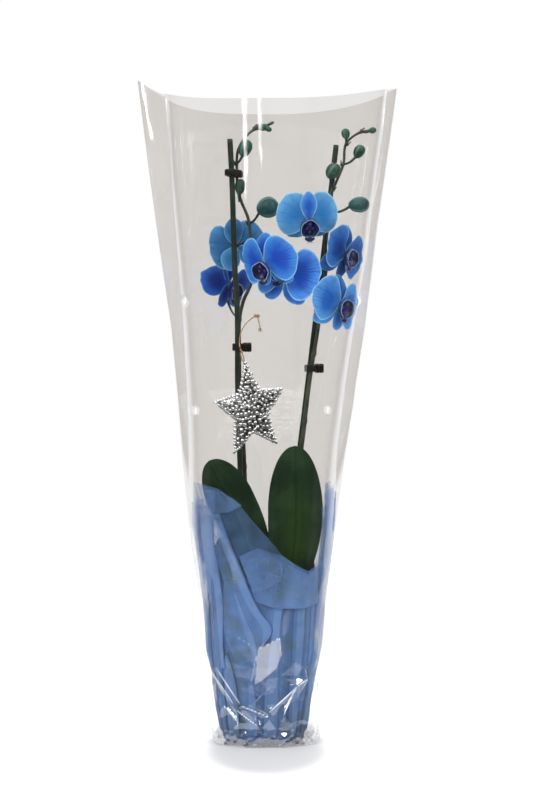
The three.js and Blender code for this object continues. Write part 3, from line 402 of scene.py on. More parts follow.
def grid_faces(rows, columns, closed=False, flip=False):
    """Quads over rows of points; closed joins the last column to the first."""
    last = columns if closed else columns - 1
    k, i = np.meshgrid(np.arange(rows - 1), np.arange(last), indexing="ij")
    j = (i + 1) % columns
    quads = np.stack([k * columns + i, k * columns + j, (k + 1) * columns + j, (k + 1) * columns + i])
    quads = quads.reshape(4, -1).T
    return (quads[:, ::-1] if flip else quads).tolist()


def tube_faces(rows, sides):
    """The faces of a tube with its two ends."""
    ends = [list(range(sides))[::-1], [(rows - 1) * sides + i for i in range(sides)]]
    return grid_faces(rows, sides, closed=True) + ends


def floor_faces(steps, sides):
    """The faces of rings that close towards the middle, seen from below."""
    middle = [steps * sides + i for i in range(sides)][::-1]
    return [*grid_faces(steps + 1, sides, closed=True, flip=True), middle]


def wall_faces(levels, sides, floor):
    """The faces of a wall's outside, inside and rim, with a floor or with a second rim below."""
    count, top = levels * sides, (levels - 1) * sides
    faces = grid_faces(levels, sides, closed=True)
    back = grid_faces(levels, sides, closed=True, flip=True)
    faces += [[index + count for index in face] for face in back]
    for i in range(sides):
        j = (i + 1) % sides
        faces.append([top + i, top + j, count + top + j, count + top + i])
        if not floor:
            faces.append([i, count + i, count + j, j])
    if floor:
        faces += [list(range(sides))[::-1], [count + i for i in range(sides)]]
    return faces


class Shape:
    """Points, faces, finishes and marks gathered for one mesh."""

    def __init__(self):
        self.points, self.faces, self.finishes, self.marks = [], [], [], []
        self.count = 0

    def add(self, points, faces, marks=None, finish=0):
        """Adds points with their faces. marks are along, across and rim values of the points."""
        points = np.asarray(points, float).reshape(-1, 3)
        marks = np.zeros((len(points), 3)) if marks is None else np.asarray(marks, float)
        self.faces.extend([index + self.count for index in face] for face in faces)
        self.finishes.extend([finish] * len(faces))
        self.points.append(points)
        self.marks.append(marks.reshape(-1, 3))
        self.count += len(points)


def put(name, shape, materials, nodes=None):
    """Makes the mesh in metres, and has it ride on the body and stand for the solid of its name or
    for the given ones."""
    mesh = bpy.data.meshes.new(name)
    points = np.vstack(shape.points) * MM
    if not np.isfinite(points).all():
        raise ValueError(f"{name} has points that are no numbers")
    mesh.from_pydata(points.tolist(), [], shape.faces)
    for material in materials:
        mesh.materials.append(material)
    mesh.polygons.foreach_set("material_index", shape.finishes)
    marks = mesh.attributes.new("marks", "FLOAT_VECTOR", "POINT")
    marks.data.foreach_set("vector", np.vstack(shape.marks).astype(np.float32).ravel())
    mesh.shade_smooth()
    mesh.validate()
    piece = bpy.data.objects.new(name, mesh)
    bpy.context.scene.collection.objects.link(piece)
    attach(piece, "root")
    nodes = [name] if nodes is None else nodes
    if nodes:
        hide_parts(*nodes)
    return piece


def rings(places, radii, sides, bumps=None):
    """Points round a line: a radius at each place, and bumps(turns) as a share for each side."""
    ways = headings_of(places)
    start = np.array([1.0, 0, 0]) if abs(ways[0][0]) < 0.8 else np.array([0, 1.0, 0])
    turns = TAU * np.arange(sides) / sides
    outward = np.ones(sides) if bumps is None else bumps(turns)
    made, side = [], start
    for place, way, radius in zip(places, ways, np.broadcast_to(radii, len(places))):
        side = unit(side - way * side.dot(way))
        up = np.cross(way, side)
        ring = np.outer(np.cos(turns), side) + np.outer(np.sin(turns), up)
        made.append(place + ring * (radius * outward)[:, None])
    return np.array(made)


def add_rod(shape, places, radii, sides, bumps=None, finish=0, mark=None):
    """A closed rod along a line. mark(shares) gives the marks' rim value along it."""
    made = rings(places, radii, sides, bumps)
    rows = len(places)
    along = np.repeat(np.linspace(0, 1, rows), sides)
    across = np.tile(np.arange(sides) / sides, rows)
    rim = np.zeros(rows * sides) if mark is None else np.repeat(mark(np.linspace(0, 1, rows)), sides)
    shape.add(made, tube_faces(rows, sides), np.stack([along, across, rim], axis=1), finish)


def add_pod(shape, centre, axis, length, width, seams=0, blunt=0.0, finish=0, sides=24, rows=15):
    """A round body along an axis, with seams pressed into it: buds, bumps, the column."""
    axis = unit(axis)
    at = np.linspace(0.02, math.pi - 0.02, rows)
    places = np.array(centre) + np.outer(-np.cos(at), axis) * length / 2
    radii = width / 2 * np.sin(at) * (1 + blunt * np.cos(at))
    made = rings(places, np.maximum(radii, 0.02), sides)
    turns = TAU * np.arange(sides) / sides
    seam = np.abs(np.cos(turns * seams / 2)) ** 12 if seams else np.zeros(sides)
    fade = np.sin(at) ** 0.5
    pressed = 1 - 0.07 * np.outer(fade, seam)
    made = places[:, None, :] + (made - places[:, None, :]) * pressed[:, :, None]
    along, across = np.repeat(at / math.pi, sides), np.tile(turns / TAU, rows)
    marks = np.stack([along, across, np.tile(seam, rows)], axis=1)
    shape.add(made, tube_faces(rows, sides), marks, finish)


def add_shell(shape, outer, inner, rim, finish=0):
    """A cup with a wall: rows of points from the floor to the rim, outside and inside."""
    levels, sides = outer.shape[:2]
    along = np.tile(np.repeat(np.linspace(0, 1, levels), sides), 2)
    across = np.tile(np.arange(sides) / sides, 2 * levels)
    marks = np.stack([along, across, np.tile(rim.ravel(), 2)], axis=1)
    shape.add(np.stack([outer, inner]), wall_faces(levels, sides, True), marks, finish)


def round_plan(outline, middle, steps, sides):
    """Rings of plan points round a middle, their faces, the edge, and how near it each point is."""
    turns = np.arange(sides) / sides
    border = np.array([outline(turn) for turn in turns])
    middle = np.array([middle, 0.0])
    plan, near = [middle[None]], [[0.0]]
    for k in range(1, steps + 1):
        ring = math.sin(0.5 * math.pi * k / steps)
        plan.append(middle + (border - middle) * ring)
        near.append(np.full(sides, ring))
    faces = [[0, 1 + i, 1 + (i + 1) % sides] for i in range(sides)]
    faces += [[index + 1 for index in face] for face in grid_faces(steps, sides, closed=True, flip=True)]
    edge = [1 + (steps - 1) * sides + i for i in range(sides)]
    return np.vstack(plan), faces, edge, np.concatenate(near)


def row_plan(rows, columns):
    """Rows of plan points from u = 0 to 1 with v from -1 to 1, their faces and edge."""
    u, v = np.meshgrid(np.linspace(0, 1, rows + 1), np.linspace(-1, 1, columns + 1), indexing="ij")
    faces = grid_faces(rows + 1, columns + 1)
    wide = columns + 1
    edge = [k * wide for k in range(rows)] + [rows * wide + i for i in range(columns)]
    edge += [k * wide + columns for k in range(rows, 0, -1)] + list(range(columns, 0, -1))
    near = np.maximum(np.abs(v), np.maximum(0, u * 2 - 1) ** 2).ravel()
    return np.stack([u.ravel(), v.ravel()], axis=1), faces, edge, near


def add_blade(shape, blade, surface, thick, front=None, finishes=(0, 0)):
    """A thin blade over a plan with its faces, edge and nearness. thick is at its middle, and it thins
    towards the edge. front is the way its face looks, and finishes are those of its face and back."""
    plan, faces, edge, near = blade
    u, v = plan[:, 0], plan[:, 1]
    step = 1e-3
    middle = surface(u, v)
    along = surface(u + step, v) - surface(u - step, v)
    across = surface(u, v + step) - surface(u, v - step)
    normal = np.cross(along, across)
    normal /= np.maximum(np.linalg.norm(normal, axis=1), 1e-12)[:, None]
    if front is not None and (normal @ np.asarray(front)).mean() < 0:
        normal = -normal
    half = (thick / 2 * (1 - 0.72 * near**4))[:, None]
    # Each face's corners go round its normal on the front, and the other way on the back.
    a, b, c = (middle[[face[i] for face in faces]] for i in range(3))
    inside = (np.cross(b - a, c - a) * normal[[face[0] for face in faces]]).sum(1)
    turned = inside.mean() < 0
    fore = [face[::-1] if turned else list(face) for face in faces]
    count = len(plan)
    marks = np.stack([u, v, near], axis=1)
    points = np.vstack([middle + normal * half, middle - normal * half])
    shape.add(points, fore, np.vstack([marks, marks]), finishes[0])
    start = shape.count - 2 * count
    back = [[index + count + start for index in face[::-1]] for face in fore]
    shape.faces.extend(back)
    shape.finishes.extend([finishes[1]] * len(back))
    for k, after in zip(edge, edge[1:] + edge[:1]):
        shape.faces.append([start + k, start + k + count, start + after + count, start + after])
        shape.finishes.append(finishes[0])


def facets(spots, heights, links, places):
    """Heights at places from flat facets between spots, and how far the nearest fold is."""
    made = delaunay_2d_cdt([Vector(spot) for spot in spots], links, [], 0, 1e-5)
    corners = np.array([tuple(corner) for corner in made[0]])
    lift = np.array([np.mean([heights[k] for k in kept]) if kept else 0.0 for kept in made[3]])
    result, gaps = np.zeros(len(places)), np.full(len(places), 99.0)
    for face in made[2]:
        a, b, c = corners[list(face)]
        low, high = np.minimum(np.minimum(a, b), c), np.maximum(np.maximum(a, b), c)
        inside = np.nonzero(((places >= low) & (places <= high)).all(axis=1))[0]
        if not len(inside):
            continue
        frame_of = np.array([b - a, c - a]).T
        if abs(np.linalg.det(frame_of)) < 1e-9:
            continue
        shares = np.linalg.solve(frame_of, (places[inside] - a).T).T
        held = (shares.min(axis=1) > -1e-6) & (shares.sum(axis=1) < 1 + 1e-6)
        h = lift[list(face)]
        found = h[0] + shares[held] @ np.array([h[1] - h[0], h[2] - h[0]])
        result[inside[held]] = found
        sides = np.array([np.linalg.norm(c - b), np.linalg.norm(c - a), np.linalg.norm(b - a)])
        tall = abs(np.linalg.det(frame_of)) / sides
        parts = np.column_stack([1 - shares[held].sum(axis=1), shares[held]])
        gaps[inside[held]] = (parts * tall).min(axis=1)
    return result, gaps


# Finishes: a node at a time, and the effects that several of them share


class Value:
    """One output of a node, in a form that can be added, taken away and multiplied like a number."""

    def __init__(self, tree, socket):
        self.tree, self.socket = tree, socket

    def __add__(self, other):
        return calc("ADD", self, other)

    def __radd__(self, other):
        return calc("ADD", other, self)

    def __sub__(self, other):
        return calc("SUBTRACT", self, other)

    def __rsub__(self, other):
        return calc("SUBTRACT", other, self)

    def __mul__(self, other):
        return calc("MULTIPLY", self, other)

    def __abs__(self):
        return calc("ABSOLUTE", self)

    def slide(self, low, high, start=0.0, end=1.0):
        """Start below low, end above high, and smooth between them."""
        feeds = {"Value": self, "From Min": low, "From Max": high, "To Min": start, "To Max": end}
        return lay(self.tree, "MapRange", feeds, interpolation_type="SMOOTHSTEP")["Result"]


class Part:
    """A node: part[place] gives an output as a Value, and part[place] = value feeds an input."""

    def __init__(self, tree, node):
        self.tree, self.node = tree, node

    def __getitem__(self, place):
        return Value(self.tree, self.node.outputs[place])

    def __setitem__(self, place, value):
        if isinstance(value, Value):
            self.tree.links.new(value.socket, self.node.inputs[place])
        else:
            self.node.inputs[place].default_value = value


def lay(tree, kind, feeds, **options):
    """Adds a node, sets its options, and feeds its inputs from values or plain numbers."""
    part = Part(tree, tree.nodes.new("ShaderNode" + kind))
    for option, value in options.items():
        setattr(part.node, option, value)
    for place, value in feeds.items():
        part[place] = value
    return part


def calc(operation, first, second=0.0, clamp=False):
    """The result of one sum, of which at least one side is a Value."""
    tree = (first if isinstance(first, Value) else second).tree
    return lay(tree, "Math", {0: first, 1: second}, operation=operation, use_clamp=clamp)[0]


def mix(factor, first, second):
    """One colour over another."""
    tree = (factor if isinstance(factor, Value) else first).tree
    return lay(tree, "Mix", {0: factor, 6: first, 7: second}, data_type="RGBA")[2]


def here(tree):
    """The place on the piece, in its own metres."""
    return lay(tree, "TexCoord", {})["Object"]


def noise(tree, scale, detail=4.0, place=None, stretch=(1, 1, 1), rough=0.55):
    """Soft noise in the piece's own metres."""
    moved = lay(tree, "Mapping", {"Vector": place or here(tree), "Scale": stretch})["Vector"]
    feeds = {"Vector": moved, "Scale": scale, "Detail": detail, "Roughness": rough}
    return lay(tree, "TexNoise", feeds)["Fac"]


def marks_of(tree):
    """The three values along, across and at the rim that each point of a piece carries."""
    marks = lay(tree, "Attribute", {}, attribute_name="marks")["Vector"]
    return lay(tree, "SeparateXYZ", {0: marks})


def effect(name, results, **inputs):
    """An empty shared effect with named sockets: its tree, its input node and its output node."""
    kinds = {True: "NodeSocketColor", False: "NodeSocketFloat"}
    tree = bpy.data.node_groups.new(name, "ShaderNodeTree")
    for label, default in inputs.items():
        kind = kinds[isinstance(default, tuple)]
        socket = tree.interface.new_socket(name=label, in_out="INPUT", socket_type=kind)
        socket.default_value = default
    for label in results:
        tree.interface.new_socket(name=label, in_out="OUTPUT", socket_type=kinds[label == "Color"])
    return tree, *(Part(tree, tree.nodes.new(f"NodeGroup{way}")) for way in ("Input", "Output"))


def use(tree, name, **feeds):
    """Places a shared effect in a material and feeds its inputs."""
    if name not in bpy.data.node_groups:
        EFFECTS[name]()
    return lay(tree, "Group", feeds, node_tree=bpy.data.node_groups[name])


def mottle_effect():
    """Two colours in soft patches, with fine grain on top."""
    dark, light = (0.1, 0.1, 0.1, 1), (0.3, 0.3, 0.3, 1)
    results = ["Color", "Height"]
    tree, enter, leave = effect("Mottle", results, Dark=dark, Light=light, Scale=60.0, Grain=900.0)
    place = here(tree)
    patches = lay(tree, "TexNoise", {"Vector": place, "Scale": enter["Scale"], "Detail": 3.0})
    grain = lay(tree, "TexNoise", {"Vector": place, "Scale": enter["Grain"], "Detail": 5.0})
    both = patches["Fac"] + grain["Fac"] * 0.45
    spread = both.slide(0.52, 0.92)
    leave["Color"] = mix(spread, enter["Dark"], enter["Light"])
    leave["Height"] = both


def vein_effect():
    """Fine veins that fan out from the base of a petal or run along a leaf, from its marks."""
    tree, enter, leave = effect("Veins", ["Mask", "Height"], Count=26.0, Fan=0.22, Wander=1.2)
    parts = marks_of(tree)
    reach = parts[0] + enter["Fan"]
    angle = calc("DIVIDE", parts[1], reach)
    wander = noise(tree, 90.0, 2.0) * enter["Wander"]
    turned = angle * enter["Count"] + wander
    wave = abs(calc("SINE", turned))
    thin = wave.slide(0.0, 0.42, 1.0, 0.0)
    second = abs(calc("SINE", turned * 2.7))
    finer = second.slide(0.0, 0.5, 0.55, 0.0) * parts[0]
    both = calc("MAXIMUM", thin, finer)
    leave["Mask"] = both
    leave["Height"] = 1.0 - both


def rim_effect():
    """A line along the edge of a petal, lip or sheet, from its marks."""
    tree, enter, leave = effect("Rim", ["Line", "Spread"], Width=0.06)
    rim = marks_of(tree)[2]
    moved = rim + (noise(tree, 160.0, 2.0) - 0.5) * 0.05
    leave["Line"] = moved.slide(1.0 - enter["Width"], 1.0)
    leave["Spread"] = calc("POWER", rim, 3.0, clamp=True)


def fibre_effect():
    """Matted fibres, as in non-woven cloth or twine."""
    tree, enter, leave = effect("Fibres", ["Mask", "Height"], Scale=700.0)
    place = here(tree)
    scaled = lay(tree, "VectorMath", {0: place, "Scale": enter["Scale"]}, operation="SCALE")
    layers = []
    for turn in ((0.0, 0.0, 0.4), (0.7, 1.1, 1.5), (1.4, 0.3, 2.6)):
        spun = lay(tree, "VectorRotate", {"Vector": scaled[0], "Rotation": turn}, rotation_type="EULER_XYZ")
        layers.append(noise(tree, 1.0, 3.0, spun[0], (0.18, 1.6, 1.6)))
    most = calc("MAXIMUM", calc("MAXIMUM", layers[0], layers[1]), layers[2])
    leave["Mask"] = most.slide(0.5, 0.78)
    leave["Height"] = most


def scuff_effect():
    """Fine scratches and dull patches on moulded plastic."""
    tree, enter, leave = effect("Scuffs", ["Mask", "Height"], Scale=240.0)
    lines = noise(tree, 1.0, 4.0, None, (1, 1, 1))
    place = here(tree)
    scaled = lay(tree, "VectorMath", {0: place, "Scale": enter["Scale"]}, operation="SCALE")
    streaks = noise(tree, 1.0, 3.0, scaled[0], (3.0, 3.0, 0.25))
    patches = noise(tree, 0.35, 2.0, scaled[0])
    both = streaks.slide(0.5, 0.75) * patches.slide(0.4, 0.7)
    leave["Mask"] = both
    leave["Height"] = streaks + lines * 0.1


EFFECTS = {
    "Mottle": mottle_effect,
    "Veins": vein_effect,
    "Rim": rim_effect,
    "Fibres": fibre_effect,
    "Scuffs": scuff_effect,
}


def finish(name, **fixed):
    """A new material: its tree and its Principled shader with the sockets that stay the same."""
    material = bpy.data.materials.new(name)
    material.use_nodes = True
    tree = material.node_tree
    shader = Part(tree, tree.nodes["Principled BSDF"])
    for label, value in fixed.items():
        shader[label.replace("_", " ")] = value
    return material, tree, shader


def bump(shader, height, strength, distance=0.0004):
    """Presses a height into the shader's normal."""
    feeds = {"Height": height, "Strength": strength, "Distance": distance}
    shader["Normal"] = lay(shader.tree, "Bump", feeds)["Normal"]


def film_finish(look):
    """Clear film: it mirrors a little of what is round it, more at a slant, and whitens along its crease
    marks, which hold the whitening of its folds and painted highlights.
    """
    material, tree, shader = finish("clear film", Roughness=look.gloss)
    parts = marks_of(tree)
    crease = parts[2]
    facing = lay(tree, "LayerWeight", {"Blend": 0.5})["Facing"]
    slant = calc("POWER", facing, 3.2) * 0.75
    haze = noise(tree, 14.0, 3.0, None, (1, 1, 0.22)).slide(0.45, 0.75) * 0.04
    gathered = parts[0].slide(0.0, 0.05, 0.1, 0.0)
    clear = slant + haze + (gathered + look.body)
    # The crease mark whitens the film: the whitening of real folds, and painted highlights along the streaks,
    # curls, folds and lamp patch drawn into it.
    folded = crease.slide(0.25, 0.9) * 0.72
    shader["Alpha"] = calc("MAXIMUM", clear, folded, clamp=True)
    shader["Metallic"] = crease.slide(0.3, 0.8, 1.0, 0.0)
    shader["Base Color"] = mix(crease, look.tint, (0.95, 0.96, 1.0, 1.0))
    ripple = noise(tree, 22.0, 3.0, None, (1.0, 1.0, 0.35))
    fine = parts[0].slide(0.05, 0.2, 1.0, 0.0) * noise(tree, 120.0, 4.0)
    bump(shader, ripple + fine * 0.5, 0.25, 0.004)
    return material


def wrap_finish(look):
    """Blue non-woven cloth, thin enough to show what is behind it, paler on the lit side of a fold."""
    material, tree, shader = finish("blue non-woven", Roughness=0.88, Sheen_Weight=0.15)
    lit, dark, _ = marks_of(tree)
    fibres = use(tree, "Fibres", Scale=700.0)
    edge = use(tree, "Rim", Width=0.06)
    cloud = noise(tree, 90.0, 4.0).slide(0.35, 0.7)
    soft = noise(tree, 24.0, 3.0).slide(0.38, 0.66)
    height = lay(tree, "SeparateXYZ", {0: here(tree)})[2]
    low = height.slide(0.135, 0.2, 1.0, 0.0)
    cloths = mix(fibres["Mask"] * 0.4, look.cloth, look.fibre)
    # Darker in soft random patches: painted shade of the cloth's soft wrinkles.
    darker = mix((cloud + soft) * 0.2, cloths, look.shadow)
    thin = noise(tree, 38.0, 5.0).slide(0.44, 0.62)
    thin = thin * height.slide(0.2, 0.27, 0.65, 0.25)
    thinned = mix(thin, darker, look.thin)
    uneven = noise(tree, 55.0, 5.0).slide(0.36, 0.62, 0.3, 0.85)
    # lit paints light on the lit side of each fold, and dark paints the shaded line beside it.
    raised = mix(lit * uneven, thinned, look.lit)
    shaded = mix(dark * 0.8, raised, look.crease)
    # A faint pale line along each layer's edge: a painted highlight on the folded edge.
    shader["Base Color"] = mix(edge["Line"] * 0.12, shaded, look.fibre)
    lean = (cloud * 0.5 + soft) * 0.1
    whole = look.body + low * look.doubled
    body = whole + fibres["Mask"] * 0.06 - lean
    folded = (lit + dark) * 0.5
    shader["Alpha"] = calc("ADD", body, folded, clamp=True)
    bump(shader, fibres["Height"], 0.12, 0.0003)
    return material


def hard_finish(name, dark, light, grain, scuffed, rough, pressed, worn=0.0, deep=0.0004, **fixed):
    """Moulded plastic, a coating or plating. grain holds the scales of its patches and its grain,
    scuffed that of its scuffs, rough its roughness beside and on them, and worn how pale they are."""
    material, tree, shader = finish(name, **fixed)
    base = use(tree, "Mottle", Dark=dark, Light=light, Scale=grain[0], Grain=grain[1])
    scuffs = use(tree, "Scuffs", Scale=scuffed)
    shader["Base Color"] = mix(scuffs["Mask"] * worn, base["Color"], light) if worn else base["Color"]
    shader["Roughness"] = scuffs["Mask"].slide(0.0, 1.0, *rough)
    bump(shader, scuffs["Height"], pressed, deep)
    return material


def pot_finish(look):
    """Smoky plant-pot plastic with scuffs."""
    skin = look.plastic, look.plastic_worn, (30.0, 900.0)
    return hard_finish("pot plastic", *skin, 300.0, (0.38, 0.7), 0.15, 0.5)


def bark_finish(look):
    """Split pine bark in layers of brown."""
    material, tree, shader = finish("bark", Roughness=0.92)
    base = use(tree, "Mottle", Dark=look.bark_dark, Light=look.bark_light, Scale=45.0, Grain=500.0)
    layers = noise(tree, 220.0, 6.0, None, (1.0, 1.0, 3.0), 0.7)
    shader["Base Color"] = mix(layers.slide(0.45, 0.6, 0.55, 0.0), base["Color"], look.bark_dark)
    bump(shader, layers + base["Height"], 0.9, 0.0012)
    return material


def root_finish(look):
    """Silver-green root skin with green showing through."""
    material, tree, shader = finish("root skin", Roughness=0.7)
    base = use(tree, "Mottle", Dark=look.root_green, Light=look.root_silver, Scale=120.0, Grain=1400.0)
    shader["Base Color"] = base["Color"]
    bump(shader, base["Height"], 0.4)
    return material


def leaf_finish(look, name, upper):
    """Thick green leaf: long faint veins, a sunk midrib with painted shade along it, lighter towards the
    base.
    """
    material, tree, shader = finish(name, Specular_IOR_Level=0.07)
    parts = marks_of(tree)
    dark = look.upper if upper else look.under
    base = use(tree, "Mottle", Dark=dark, Light=look.patch, Scale=34.0, Grain=700.0)
    veins = use(tree, "Veins", Count=21.0, Fan=30.0, Wander=0.25)
    wide = use(tree, "Veins", Count=330.0, Fan=30.0, Wander=0.8)
    inner = abs(parts[1]).slide(0.05, 0.75, 1.0, 0.0)
    low = parts[0].slide(0.3, 0.85, 1.0, 0.0)
    spread = inner * low * 0.75
    green = mix(spread, base["Color"], look.fresh)
    # Darker along the sunk midrib: painted shade in its groove.
    rib = abs(parts[1]).slide(0.012, 0.05, 1.0, 0.0)
    green = mix(rib * 0.3, green, look.rib)
    shader["Base Color"] = mix(wide["Mask"] * 0.22, green, look.rib)
    shader["Roughness"] = base["Height"].slide(0.3, 0.9, look.gloss, look.gloss + 0.16)
    bump(shader, wide["Height"] * 0.5 + veins["Height"], 0.22, 0.0006)
    return material


def stem_finish(look, name, dark, light):
    """Green skin with darker patches, for stems and pedicels."""
    material, tree, shader = finish(name, Roughness=0.42)
    base = use(tree, "Mottle", Dark=dark, Light=light, Scale=55.0, Grain=1200.0)
    node = marks_of(tree)[2]
    shader["Base Color"] = mix(node, base["Color"], look.bract)
    bump(shader, base["Height"], 0.25)
    return material


def bud_finish(look, name, dark, light):
    """Bud skin with paler seams."""
    material, tree, shader = finish(name, Roughness=0.42, Specular_IOR_Level=0.25)
    base = use(tree, "Mottle", Dark=dark, Light=light, Scale=70.0, Grain=1300.0)
    parts = marks_of(tree)
    seam = parts[2].slide(0.3, 0.95)
    streak = use(tree, "Veins", Count=60.0, Fan=6.0, Wander=1.0)
    skin = mix(streak["Mask"] * 0.25, base["Color"], dark)
    skin = mix(seam * 0.55, skin, look.bud_seam)
    shader["Base Color"] = skin
    bump(shader, base["Height"], 0.2)
    return material


def stake_finish(look):
    """Dark green coated stake with scuffs along it."""
    skin = look.coating, look.coating_lit, (40.0, 900.0)
    return hard_finish("stake coating", *skin, 420.0, (0.36, 0.6), 0.25, 0.35, Specular_IOR_Level=0.25)


def clip_finish(look):
    """Black moulded plastic."""
    skin = look.clip, look.clip_lit, (90.0, 1800.0)
    return hard_finish("clip plastic", *skin, 600.0, (0.3, 0.55), 0.2, Specular_IOR_Level=0.25)


def petal_finish(look, name, deep, open_, rim, back):
    """Dyed petal: deeper towards its middle, fine dark veins, painted shade along its broad folds, and a pale
    line along the edge.
    """
    material, tree, shader = finish(name, Roughness=look.gloss, Specular_IOR_Level=0.06)
    parts = marks_of(tree)
    veins = use(tree, "Veins", Count=look.veins, Fan=0.22, Wander=2.4)
    edge = use(tree, "Rim", Width=0.085)
    wash = noise(tree, 60.0, 4.0)
    out = parts[2] + (wash - 0.5) * 1.2
    body = mix(out.slide(0.2, 0.95), deep, open_)
    throat = parts[0].slide(0.02, 0.4, 0.8, 0.0)
    body = mix(throat, body, deep)
    # Darker along a few broad radial folds: painted shade in the folds, which the bump also raises.
    folds = use(tree, "Veins", Count=8.0, Fan=0.3, Wander=2.6)
    fold = folds["Mask"] * (parts[0] * 0.75)
    body = mix(fold, body, deep)
    blotch = noise(tree, 95.0, 5.0, None, (1, 1, 1), 0.65).slide(0.45, 0.7, 0.0, 0.6)
    body = mix(blotch, body, deep)
    between = veins["Height"] * (parts[0] * 0.1)
    body = mix(between, body, rim)
    body = mix(veins["Mask"] * (0.25 if back else 0.6), body, deep)
    if back:
        body = mix(0.35, body, look.back)
    body = mix(edge["Spread"] * 0.2, body, rim)
    body = mix(edge["Line"] * 0.8, body, rim)
    shader["Base Color"] = body
    bump(shader, veins["Height"] + folds["Height"] * 2.5, 0.4, 0.0008)
    return material


def lip_finish(name, dark, light, rim):
    """Dark throat with a fine pale edge."""
    material, tree, shader = finish(name, Roughness=0.36, Coat_Weight=0.2, Coat_Roughness=0.25)
    base = use(tree, "Mottle", Dark=dark, Light=light, Scale=260.0, Grain=2200.0)
    edge = use(tree, "Rim", Width=0.1)
    streak = use(tree, "Veins", Count=40.0, Fan=2.0, Wander=2.0)
    body = mix(streak["Mask"] * 0.5, base["Color"], dark)
    body = mix(edge["Line"] * 0.8, body, rim)
    shader["Base Color"] = body
    bump(shader, base["Height"], 0.35)
    return material


def bead_finish(look, name, dark, light):
    """Plating, a little worn."""
    rough = look.gloss, look.gloss + 0.2
    return hard_finish(name, dark, light, (500.0, 2600.0), 900.0, rough, 0.08, 0.0, 0.0002, Metallic=1.0)


def twine_finish(look):
    """Jute fibres, lighter on their crests."""
    material, tree, shader = finish("jute", Roughness=0.95)
    fibres = use(tree, "Fibres", Scale=1800.0)
    base = use(tree, "Mottle", Dark=look.jute_dark, Light=look.jute, Scale=300.0, Grain=2600.0)
    shader["Base Color"] = mix(fibres["Mask"] * 0.5, base["Color"], look.jute)
    bump(shader, fibres["Height"], 0.8, 0.0003)
    return material


# Sizes and colours for the panel


class SleeveLook(bpy.types.PropertyGroup):
    """The clear film sleeve."""

    body: share("Body", "How much of the light one layer of film holds back", 0.2)
    gloss: share("Roughness", "Roughness of the film", 0.07)
    crumple: share("Crumple", "How far the facets of the film stand out", 1.0)
    tint: paint("Tint", "Colour that the film mirrors", (0.86, 0.86, 0.88, 1.0))


class WrapLook(bpy.types.PropertyGroup):
    """The blue non-woven wrap."""

    body: share("Body", "How much of the light one layer of cloth holds back", 0.36)
    doubled: share("Doubled", "How much more it holds back where it is gathered round the pot", 0.4)
    cloth: paint("Cloth", "Colour of the cloth", shade(82, 118, 169))
    fibre: paint("Fibre", "Colour of its loose fibres", shade(118, 150, 192))
    # The hollows' colour is painted shade, laid in soft random patches.
    shadow: paint("Hollow", "Colour of its hollows", shade(58, 92, 142))
    thin: paint("Thin spots", "Colour of its thin spots", shade(82, 104, 116))
    lit: paint("Lit side", "Colour of the lit side of a fold", shade(100, 130, 176))
    crease: paint("Crease", "Colour of the shaded line beside a fold", shade(36, 62, 118))
    relief: size("Relief", "How far its creases stand out, in millimetres", 2.4)


class PotLook(bpy.types.PropertyGroup):
    """The nursery pot, its bark and the roots."""

    plastic: paint("Plastic", "Colour of the pot", shade(62, 68, 60))
    plastic_worn: paint("Worn plastic", "Colour of its scuffs", shade(104, 108, 98))
    bark_dark: paint("Dark bark", "Colour of the bark's hollows", shade(42, 28, 18))
    bark_light: paint("Light bark", "Colour of the bark's faces", shade(126, 84, 52))
    root_green: paint("Root green", "Colour under the root skin", shade(92, 112, 66))
    root_silver: paint("Root silver", "Colour of dry root skin", shade(170, 176, 150))
    chips: IntProperty(name="Chips", description="Number of bark chips", default=96, min=8, max=300)


class LeafLook(bpy.types.PropertyGroup):
    """The leaves."""

    upper: paint("Upper side", "Colour of the upper side", shade(8, 23, 15))
    under: paint("Under side", "Colour of the under side", shade(36, 58, 36))
    patch: paint("Patches", "Lighter patches of the skin", shade(18, 38, 24))
    fresh: paint("Fresh green", "Lighter green towards the base", shade(38, 62, 18))
    # rib also holds the painted shade along the sunk midrib, besides the veins' own colour.
    rib: paint("Rib", "Colour of the sunk midrib and veins", shade(8, 20, 14))
    thickness: size("Thickness", "Thickness at the middle, in millimetres", 1.8)
    gloss: share("Roughness", "Roughness of the leaf skin", 0.34)


class SpikeLook(bpy.types.PropertyGroup):
    """Stems, buds, stakes and clips."""

    stem_dark: paint("Dark stem", "Darker skin of the stem", shade(26, 34, 26))
    stem_light: paint("Light stem", "Lighter skin of the stem", shade(58, 66, 44))
    bract: paint("Bract", "Dry bracts and nodes", shade(52, 44, 32))
    bud_dark: paint("Dark bud", "Shaded skin of the buds", shade(14, 52, 52))
    bud_light: paint("Light bud", "Lit skin of the buds", shade(44, 90, 88))
    young_dark: paint("Young bud", "Shaded skin of the small buds", shade(18, 46, 34))
    young_light: paint("Lit young bud", "Lit skin of the small buds", shade(44, 78, 62))
    bud_seam: paint("Seam", "Seams of the buds", shade(80, 122, 108))
    coating: paint("Stake", "Coating of the stakes", shade(17, 28, 23))
    coating_lit: paint("Worn stake", "Scuffed coating of the stakes", shade(40, 50, 42))
    clip: paint("Clip", "Plastic of the clips", shade(8, 8, 8))
    clip_lit: paint("Worn clip", "Scuffed plastic of the clips", shade(30, 30, 28))
    stake_radius: size("Stake radius", "Radius of a stake, in millimetres", 3.0)
    stem_radius: size("Stem radius", "Radius at the foot of a stem, in millimetres", 2.7)
    stem_tip: size("Tip radius", "Radius at the tip of a stem, in millimetres", 1.3)


